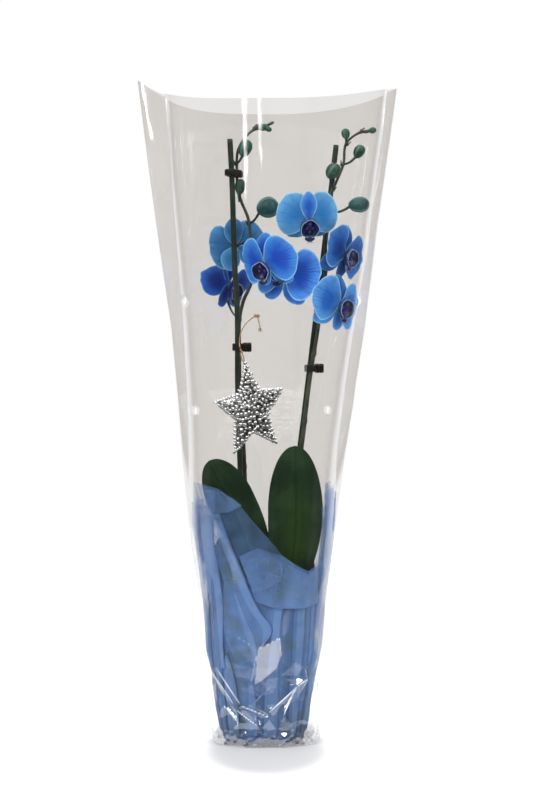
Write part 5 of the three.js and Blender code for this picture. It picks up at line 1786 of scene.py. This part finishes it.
def bark_shape(chips):
    """A body of bark that fills the pot, with loose chips on top."""
    bark, turns = Shape(), TAU * np.arange(POT_SIDES) / POT_SIDES
    body = []
    for z in (6.2, 20, 40, 60, 78, 88, BARK_TOP - 2):
        body.append(round_pot(0.96 * (POT_INSIDE + POT_SLOPE * (z - 4.6)) - 0.4, turns, z))
    for k in range(1, 7):
        reach = (0.96 * (POT_INSIDE + POT_SLOPE * 89) - 0.4) * (1 - k / 6.4)
        body.append(round_pot(reach, turns, BARK_TOP - 2 + 0.8 * np.sin(7 * turns + k)))
    bark.add(np.array(body), tube_faces(len(body), POT_SIDES))
    chance = np.random.default_rng(12)
    for k in range(chips):
        points, chip_faces = chip_shape(chance)
        spin, tilt, roll = chance.uniform(0, TAU), chance.uniform(-0.6, 0.6), chance.uniform(-0.5, 0.5)
        turn = spin_about(2, spin) @ spin_about(1, tilt) @ spin_about(0, roll)
        reach = 9 + 32.5 * math.sqrt((k + 0.5) / chips)
        at = round_pot(reach, k * EVEN_TURN, BARK_TOP - 0.6 + chance.uniform(-1, 1.8))
        bark.add(points @ turn.T + at, chip_faces)
    return bark


def crown_shape():
    """The plant's crown with its roots."""
    crown = Shape()
    places = smooth_line([(POT_CENTRE, 0, 74), (POT_CENTRE, 0, 96), (POT_CENTRE, 0, CROWN_TOP)], 30)
    swell = 8 * (0.72 + 0.28 * np.sin(math.pi * (0.2 + 0.6 * np.linspace(0, 1, 30))))
    swell[-4:] *= (0.96, 0.86, 0.66, 0.3)
    add_rod(crown, places, swell, 32, lambda turn: 1 + 0.05 * np.cos(4 * turn))
    for bearing, reach, crest in ROOTS:
        c, s = math.cos(math.radians(bearing)), math.sin(math.radians(bearing))

        def spot(distance, drift, z, c=c, s=s):
            """A place on the root at a distance from the crown."""
            return (POT_CENTRE + c * distance - s * drift, s * distance + c * drift, z)

        spots = [spot(3, 0, 94), spot(reach * 0.4, 2, crest), spot(reach * 0.75, 5, crest - 4)]
        line = smooth_line([*spots, spot(reach, 7, 88), spot(reach * 1.05, 8, 78)], 40)
        wave = 2.55 * (1 + 0.06 * np.sin(np.linspace(0, 19, 40) + bearing))
        add_rod(crown, line, wave, 16)
    return crown


class ORCHID_OT_pot(bpy.types.Operator):
    """Builds the nursery pot, its bark, the crown and the roots"""

    bl_idname = "orchid.pot"
    bl_label = "Pot and bark"

    def execute(self, context):
        look = context.scene.orchid_pot
        profile = np.array(POT_PROFILE, float)
        fine = [profile[0]]
        for a, b in zip(profile[:-1], profile[1:]):
            count = max(1, int(np.linalg.norm(b - a) / 5))
            fine += [a + (b - a) * k / count for k in range(1, count + 1)]
        fine = np.array(fine)
        turns = TAU * np.arange(POT_SIDES) / POT_SIDES
        ribs = 1 + 0.006 * np.maximum(0, np.cos(12 * turns)) ** 6
        reaches = [max(radius, 0.4) * (ribs if 12 < z < 96 else 1.0) for radius, z in fine]
        rows = np.array([round_pot(reach, turns, z) for reach, (_, z) in zip(reaches, fine)])
        faces = []
        for face in grid_faces(len(fine), POT_SIDES, closed=True):
            x, y, z = rows.reshape(-1, 3)[face].mean(axis=0) - (POT_CENTRE, 0, 0)
            drained = 22 < math.hypot(x, y) < 32 and math.cos(POT_DRAINS * math.atan2(y, x)) > 0.86
            if z >= 6 or not drained:
                faces.append(face)
        shape = Shape()
        shape.add(rows, faces)
        put("nursery_pot", shape, [pot_finish(look)])

        put("bark_mix", bark_shape(look.chips), [bark_finish(look)])
        put("plant_crown", crown_shape(), [root_finish(look)])
        return {"FINISHED"}


# Leaves


def leaf_surface(across, width, widest, fold, points, seed):
    """The places on the middle of a leaf, as a function of plan rows u and v."""
    line = smooth_line(points, 400)
    ways = headings_of(line)
    across = np.array(across, float)

    def surface(u, v):
        """A place on the middle of the leaf."""
        at = u * (1.6 - 0.6 * u)
        spot = np.clip(at, 0, 1)
        middle, along = (on_line(spot * 399, np.arange(400), known) for known in (line, ways))
        along /= np.linalg.norm(along, axis=1)[:, None]
        side = across - along * (along @ across)[:, None]
        side /= np.linalg.norm(side, axis=1)[:, None]
        normal = np.cross(along, side)
        tip = width * np.sqrt(np.maximum(0, 1 - (np.maximum(spot - widest, 0) / (1 - widest)) ** 2))
        base = width * (0.16 + 0.84 * np.sin(math.pi / 2 * np.clip(spot / widest, 0, 1)) ** 1.4)
        half = np.maximum(np.where(spot > widest, tip, base), 1.4) / 2
        lift = fold * half * (1.6 * np.abs(v) - 0.8 * v * v)
        lift += 0.5 * np.sin(5 * spot + seed) * v * np.abs(v) * half / 25
        groove = 0.55 * np.exp(-((v / 0.045) ** 2)) * ease(0.02, 0.2, spot)
        middle = middle + along * ((at - spot) * 100)[:, None]
        return middle + side * (v * half)[:, None] + normal * (lift - groove)[:, None]

    return surface


class ORCHID_OT_leaves(bpy.types.Operator):
    """Grows the four thick leaves"""

    bl_idname = "orchid.leaves"
    bl_label = "Leaves"

    def execute(self, context):
        look = context.scene.orchid_leaf
        skins = [leaf_finish(look, "leaf upper", True), leaf_finish(look, "leaf under", False)]
        for name, leaf in LEAVES.items():
            shape = Shape()
            surface = leaf_surface(*leaf, len(name) * 0.7 + leaf[1])
            add_blade(shape, row_plan(70, 36), surface, look.thickness, None, (0, 1))
            put(name, shape, skins)
        return {"FINISHED"}


# Stakes, clips and spikes


def at_height(points, height):
    """The place on a rising line at a height."""
    line = smooth_line(points, 400)
    return on_line(height, line[:, 2], line)


def add_block(shape, start, way, up, length, wide, tall, ribs, finish=0):
    """A rounded tab with ribs across it, from start along way."""
    way, up = unit(way), unit(up)
    side = np.cross(up, way)
    rows, sides = 26, 28
    turns = TAU * np.arange(sides) / sides
    c, s = np.cos(turns), np.sin(turns)
    section = np.stack([np.sign(c) * np.abs(c) ** 0.5, np.sign(s) * np.abs(s) ** 0.5], axis=1)
    points = []
    for k in range(rows):
        at = k / (rows - 1)
        cap = min(1.0, (1 - abs(2 * at - 1)) * 7 + 0.62)
        rib = 1 - 0.12 * (0.5 - 0.5 * math.cos(TAU * ribs * at))
        ring = np.outer(section[:, 0], side) * wide / 2 + np.outer(section[:, 1], up) * tall / 2
        points.append(np.asarray(start) + way * length * at + ring * cap * rib)
    shape.add(np.array(points), [face[::-1] for face in tube_faces(rows, sides)], finish=finish)


def clip_shape(stake, stem, height, tabs, stake_radius):
    """An oval band round a stake and a stem, with ribs outside and finger tabs."""
    a, b = at_height(STAKES[stake], height), at_height(STEMS[stem], height)
    middle, gap = (a + b) / 2, b - a
    half = np.linalg.norm(gap) / 2
    turn = math.atan2(gap[1], gap[0])
    shape = Shape()
    sides = 56
    inside = stake_radius + 0.7
    levels = np.linspace(-4, 4, 15)

    def oval(radius, z):
        """One ring of the band."""
        ring = []
        for i in range(sides):
            at = TAU * i / sides
            centre = half if math.cos(at) > 0 else -half
            rib = 0.3 * max(0.0, math.cos(14 * at)) if radius > inside + 0.5 else 0.0
            ring.append((centre + (radius + rib) * math.cos(at), (radius + rib) * math.sin(at), z))
        return ring

    outer = np.array([oval(inside + 1.8 - 0.5 * abs(z / 4) ** 8, z) for z in levels])
    inner = np.array([oval(inside + 0.25 * abs(z / 4) ** 8, z) for z in levels])
    shape.add(np.stack([outer, inner]), wall_faces(len(levels), sides, False))
    for x, y, bearing, length in tabs:
        spin = math.radians(bearing)
        start = np.array([x * (half + inside + 0.9), y * (inside + 0.9), 0])
        way = (math.cos(spin), math.sin(spin), 0)
        add_block(shape, start, way, (0, 0, 1), length, 7.4, 11.0 if length > 5 else 7.6, 3)
    c, s = math.cos(turn), math.sin(turn)
    for k, points in enumerate(shape.points):
        x, y, z = points.T
        shape.points[k] = np.stack([x * c - y * s, x * s + y * c, z], axis=1) + middle
    return shape


class ORCHID_OT_stakes(bpy.types.Operator):
    """Sets the two stakes and the clips that hold the stems to them"""

    bl_idname = "orchid.stakes"
    bl_label = "Stakes and clips"

    def execute(self, context):
        look = context.scene.orchid_spike
        coating, plastic = stake_finish(look), clip_finish(look)
        for name, points in STAKES.items():
            line = smooth_line(points, 160)
            radii = np.full(160, look.stake_radius) * (1 + 0.012 * np.sin(np.linspace(0, 60, 160)))
            line = np.vstack([line[:1], line, line[-1:]])
            line[0] += (line[1] - line[2]) * 0.02
            line[-1] += (line[-2] - line[-3]) * 0.08
            radii = np.concatenate([[radii[0] * 0.9], radii, [radii[-1] * 0.82]])
            shape = Shape()
            add_rod(shape, line, radii, 28, lambda turn: 1 + 0.035 * np.cos(7 * turn))
            put(name, shape, [coating])
        for name, (stake, stem, height, tabs) in CLIPS.items():
            shape = clip_shape(stake, stem, height, tabs, look.stake_radius)
            put(name, shape, [plastic])
        return {"FINISHED"}


def bloom_frame(bloom):
    """The hub of a bloom and the ways it faces, stands up and reaches to the right."""
    turn, nod, roll = (math.radians(value) for value in bloom["face"])
    face = np.array([math.sin(turn) * math.cos(nod), -math.cos(turn) * math.cos(nod), -math.sin(nod)])
    up = unit(np.array([0, 0, 1.0]) - face * face[2])
    up = up * math.cos(roll) + np.cross(face, up) * math.sin(roll)
    return np.array(bloom["at"], float), face, up, np.cross(up, face)


def in_bloom(hub, x, y, z):
    """A place given to the right of, above and in front of a bloom's hub."""
    at, face, up, right = hub
    x, y, z = (np.asarray(value, float)[..., None] for value in (x, y, z))
    return at + right * x + up * y + face * z


def add_bract(shape, place, way, lean, length, finish):
    """A dry triangular bract that hugs the stem at a node."""
    way, lean = unit(way), unit(lean)
    side = unit(np.cross(way, lean))
    out = np.cross(side, way)

    def surface(u, v):
        """A place on the middle of the bract."""
        wide = 2.9 * np.maximum(1 - u, 0) ** 0.7 + 0.15
        turn = v * 1.25 * (1 - 0.5 * u)
        reach = 2.9 + 1.2 * u * u
        spread = np.sin(turn) * wide
        at = place + way * (u * length)[:, None] + side * spread[:, None]
        return at + out * (np.cos(turn) * reach)[:, None]

    add_blade(shape, row_plan(10, 8), surface, 0.5, out, (finish, finish))


class ORCHID_OT_spikes(bpy.types.Operator):
    """Grows the two flower spikes with their pedicels, bracts and buds"""

    bl_idname = "orchid.spikes"
    bl_label = "Flower spikes"

    def execute(self, context):
        look = context.scene.orchid_spike
        skins = [
            stem_finish(look, "stem skin", look.stem_dark, look.stem_light),
            stem_finish(look, "pedicel skin", look.stem_dark, look.bud_dark),
            bud_finish(look, "bud skin", look.bud_dark, look.bud_light),
            bud_finish(look, "young bud skin", look.young_dark, look.young_light),
        ]
        for name, points in STEMS.items():
            shape = Shape()
            line = smooth_line(points, 420)
            at = np.linspace(0, 1, 420)
            radii = look.stem_radius + (look.stem_tip - look.stem_radius) * at**1.6
            ways = headings_of(line)
            blooms = [b for key, b in BLOOMS.items() if key.split("_")[0] == name.split("_")[1]]
            joints = [b[3] for b in BUDS[name]] + [b["from"] for b in blooms]
            marks = np.zeros(420)
            for height in joints + STEM_NODES[name]:
                gap = np.abs(line[:, 2] - height)
                radii = radii * (1 + 0.24 * np.exp(-((gap / 1.6) ** 2)))
                marks = np.maximum(marks, 0.55 * np.exp(-((gap / 0.9) ** 2)))
            add_rod(shape, line, radii, 18, mark=lambda shares, marks=marks: marks)
            for height in STEM_NODES[name]:
                k = int(np.abs(line[:, 2] - height).argmin())
                add_bract(shape, line[k], ways[k], (0.3, -1, 0), 13, 0)
            for centre, axis, (long, wide), height in BUDS[name]:
                centre, axis = np.array(centre, float), unit(axis)
                start = at_height(points, height)
                end = centre - axis * long * 0.3
                middle = (start + end) / 2
                middle[2] -= 0.12 * np.linalg.norm(end - start)
                stalk = smooth_line([start, middle, end], 24)
                add_rod(shape, stalk, 1.35 + 0.35 * np.linspace(0, 1, 24) ** 3, 12, finish=1)
                k = int(np.abs(line[:, 2] - height).argmin())
                add_bract(shape, line[k] - ways[k] * 1.5, ways[k], start - middle + (0, -0.4, 0), 6, 0)
                skin = 2 if long > 22 else 3
                add_pod(shape, centre, axis, long, wide, 3, -0.12, skin, sides=36, rows=22)
            for bloom in blooms:
                hub = bloom_frame(bloom)
                end = in_bloom(hub, 0, 0, HUB_BACK - 0.3)
                behind = in_bloom(hub, 0, 0, HUB_BACK - 7)
                start = at_height(points, bloom["from"])
                spots = [start, bloom["by"], behind, end] if "by" in bloom else [start, behind, end]
                stalk = smooth_line(spots, 50)
                swell = 1.15 + 0.7 * np.linspace(0, 1, 50) ** 2.5
                add_rod(shape, stalk, swell, 12, lambda turn: 1 + 0.05 * np.cos(6 * turn), finish=1)
            put(name, shape, skins)
        return {"FINISHED"}


# Blooms


def petal_outline(widest, clawed, pointed):
    """The border of a petal: u from its base to its tip, v across it."""

    def border(turn):
        c = math.cos(TAU * turn)
        u = widest + (1 - widest) * c if c > 0 else widest * (1 + c)
        narrow = 1 - clawed * max(0.0, -c) ** 1.5 - pointed * max(0.0, c) ** 3
        return u, math.sin(TAU * turn) * narrow

    return border


def add_petal(shape, hub, petal, look, seed, finishes):
    """One petal or sepal of a bloom."""
    turn, sweep = math.radians(petal["angle"]), math.radians(petal["sweep"])
    way, side = (math.sin(turn), math.cos(turn)), (math.cos(turn), -math.sin(turn))
    length, width, start = petal["length"], petal["width"], petal["start"]
    widest, ruffle = petal["widest"], petal["ruffle"] * look.ruffle

    def surface(u, v):
        """A place on the middle of the petal."""
        along = start + u * (length - start)
        across = v * width / 2
        part = along / length
        lift = -along * math.sin(sweep) + petal["back"]
        lift = lift + petal["cupped"] * (across / width) ** 2 * width - 3 * part * part
        out = np.hypot((u - widest) / np.where(u > widest, 1 - widest, widest), v)
        bearing = np.arctan2(v, u - widest)
        wave = np.sin(3 * bearing + seed) + 0.6 * np.sin(7 * bearing + 2.1 * seed)
        lift = lift + ruffle * wave * np.clip(out, 0, 1.1) ** 4
        lift = lift - 0.5 * np.exp(-((v / 0.07) ** 2)) * u * (1 - u) * 2
        flat = along * math.cos(sweep)
        return in_bloom(hub, way[0] * flat + side[0] * across, way[1] * flat + side[1] * across, lift)

    outline = petal_outline(widest, petal["clawed"], petal["pointed"])
    add_blade(shape, round_plan(outline, widest, 14, 72), surface, look.thickness, hub[1], finishes)


def lip_shape(hub, size_of):
    """The dark lip: two side lobes round a throat, the tongue, the column and the bumps."""
    shape = Shape()
    levels, sides = 14, 48
    rise, turn = np.meshgrid(np.linspace(0, 1, levels), TAU * np.arange(sides) / sides, indexing="ij")
    turn = -turn
    gap_top = np.exp(-((np.abs(np.angle(np.exp(1j * turn))) / 0.42) ** 2))
    gap_low = np.exp(-((np.abs(np.angle(np.exp(1j * (turn - math.pi)))) / 0.5) ** 2))
    depth = LIP_DEPTH * rise * (1 - 0.3 * gap_top - 0.2 * gap_low)

    def wall(inset):
        """One side of the lobes' wall."""
        swell = 0.35 + 0.65 * np.sin(rise * math.pi / 2) ** 0.7
        curl = 1 - 0.1 * np.maximum(0, rise - 0.72) / 0.28
        reach = LIP_RADIUS * size_of * swell * curl - inset
        reach = reach * (1 + 0.03 * np.sin(5 * turn) * rise)
        out = LIP_BACK + depth + inset * (1 - rise)
        return in_bloom(hub, reach * np.sin(turn), reach * np.cos(turn) - LIP_LOW, out)

    add_shell(shape, wall(0), wall(0.9), rise**3)

    def tongue(u, v):
        """A place on the tongue, which widens and then comes to a point."""
        wide = 3.2 + 2.6 * np.sin(math.pi * np.clip(u, 0, 1)) - 2.6 * u**3
        low = LIP_LOW + LIP_RADIUS * size_of - 3.2 + 6.3 * u + 0.6 * v * v
        return in_bloom(hub, v * wide, -low, 10 + 8 * u - 5 * u * u - 1.4 * v * v)

    add_blade(shape, row_plan(20, 12), tongue, 1.2, hub[1] + hub[2])
    for x in (-1, 1):
        tip = LIP_LOW + LIP_RADIUS * size_of + 2.6
        start = in_bloom(hub, 0.6 * x, -tip, 12.8)
        middle = in_bloom(hub, 1.8 * x, -tip - 1.2, 14.4)
        end = in_bloom(hub, 2.6 * x, 0.2 - tip, 15.6)
        add_rod(shape, smooth_line([start, middle, end], 14), np.linspace(0.5, 0.15, 14), 8, finish=1)
    for x, y, z, wide in LIP_BUMPS:
        add_pod(shape, in_bloom(hub, x, y, z), hub[1], 4.4, wide, finish=1, sides=16, rows=9)
    add_pod(shape, in_bloom(hub, 0, 0.4, 7), hub[1], 9.4, 5.2, sides=20, rows=13)
    add_pod(shape, in_bloom(hub, 0, 0.2, 10.6), hub[1], 2.8, 3.6, finish=1, sides=16, rows=9)
    return shape


class ORCHID_OT_blooms(bpy.types.Operator):
    """Opens the seven blooms with their petals, sepals and dark lips"""

    bl_idname = "orchid.blooms"
    bl_label = "Blooms"

    def execute(self, context):
        look = context.scene.orchid_bloom
        throat = lip_finish("lip", look.lip_dark, look.lip_light, look.lip_rim)
        bumps = lip_finish("lip bumps", look.lip_light, look.bumps, look.bumps)
        for number, (name, bloom) in enumerate(BLOOMS.items()):
            hub = bloom_frame(bloom)
            size_of = bloom["scale"]
            deep, open_, rim = bloom["paints"]
            face = petal_finish(look, f"petal face {name}", deep, open_, rim, False)
            back = petal_finish(look, f"petal back {name}", deep, open_, rim, True)
            wide = {
                "length": look.petal_length * size_of,
                "width": look.petal_width * size_of * bloom.get("slender", 1),
                "back": 0.2,
                "cupped": 0.1,
                "start": 1.2,
                "widest": 0.47,
                "clawed": 0.2,
                "pointed": 0.04,
                "ruffle": 1.0,
            }
            slim = {
                "length": look.sepal_length * size_of,
                "width": look.sepal_width * size_of,
                "back": -1.8,
                "cupped": 0.18,
                "start": 0.8,
                "widest": 0.55,
                "clawed": 0.45,
                "pointed": 0.22,
                "ruffle": 0.4,
            }
            petals = [
                {**wide, "angle": 84 - bloom.get("raised", 0)},
                {**wide, "angle": bloom.get("raised", 0) - 84},
                {**slim, "angle": 0, **bloom.get("crest", {})},
                {**slim, "angle": 140},
                {**slim, "angle": -140},
            ]
            shape = Shape()
            sines = np.sin(np.radians(bloom["sweeps"]))
            finishes = [face, back]
            if "crest_paints" in bloom:
                finishes.append(petal_finish(look, f"crest {name}", *bloom["crest_paints"], rim, False))
            for k, (petal, sweep) in enumerate(zip(petals, bloom["sweeps"])):
                if k > 2 and sweep > 0:
                    petal["back"] -= 0.6 + 26 * max(0.0, sines[k - 3] - sines[k])
                skin = 2 if k == 2 and len(finishes) > 2 else 0
                add_petal(shape, hub, {**petal, "sweep": sweep}, look, number * 1.3 + k * 2.1, (skin, 1))
            add_pod(shape, in_bloom(hub, 0, 0, HUB_BACK + 3), hub[1], 6, 7.2, finish=1)
            put(f"bloom_{name}_petals", shape, finishes)
            lip = lip_shape(hub, size_of * bloom.get("lip", 1))
            put(f"bloom_{name}_lip", lip, [throat, bumps])
        return {"FINISHED"}


# Panel and registration


class ORCHID_PT_panel(bpy.types.Panel):
    """Lists the steps that build the orchid, and its sizes and colours"""

    bl_label = "Wrapped Moth Orchid"
    bl_idname = "ORCHID_PT_panel"
    bl_space_type = "VIEW_3D"
    bl_region_type = "UI"
    bl_category = "Orchid"

    def draw(self, context):
        column = self.layout.column()
        for step in STEPS:
            column.operator(step.bl_idname)
        for name, look in LOOKS.items():
            box = self.layout.box()
            box.label(text=look.__doc__)
            for label in look.__annotations__:
                box.prop(getattr(context.scene, name), label)


# The camera and the twine come first.
STEPS = [
    ORCHID_OT_stage,
    ORCHID_OT_twine,
    ORCHID_OT_sleeve,
    ORCHID_OT_wrap,
    ORCHID_OT_pot,
    ORCHID_OT_leaves,
    ORCHID_OT_stakes,
    ORCHID_OT_spikes,
    ORCHID_OT_blooms,
    ORCHID_OT_star,
]
CLASSES = [*LOOKS.values(), *STEPS, ORCHID_PT_panel]


def register():
    for item in CLASSES:
        bpy.utils.register_class(item)
    for name, look in LOOKS.items():
        setattr(bpy.types.Scene, name, PointerProperty(type=look))


def unregister():
    for name in LOOKS:
        delattr(bpy.types.Scene, name)
    for item in reversed(CLASSES):
        bpy.utils.unregister_class(item)


def main():
    register()
    for step in STEPS:
        area, action = step.bl_idname.split(".")
        getattr(getattr(bpy.ops, area), action)()


if __name__ == "__main__":
    main()
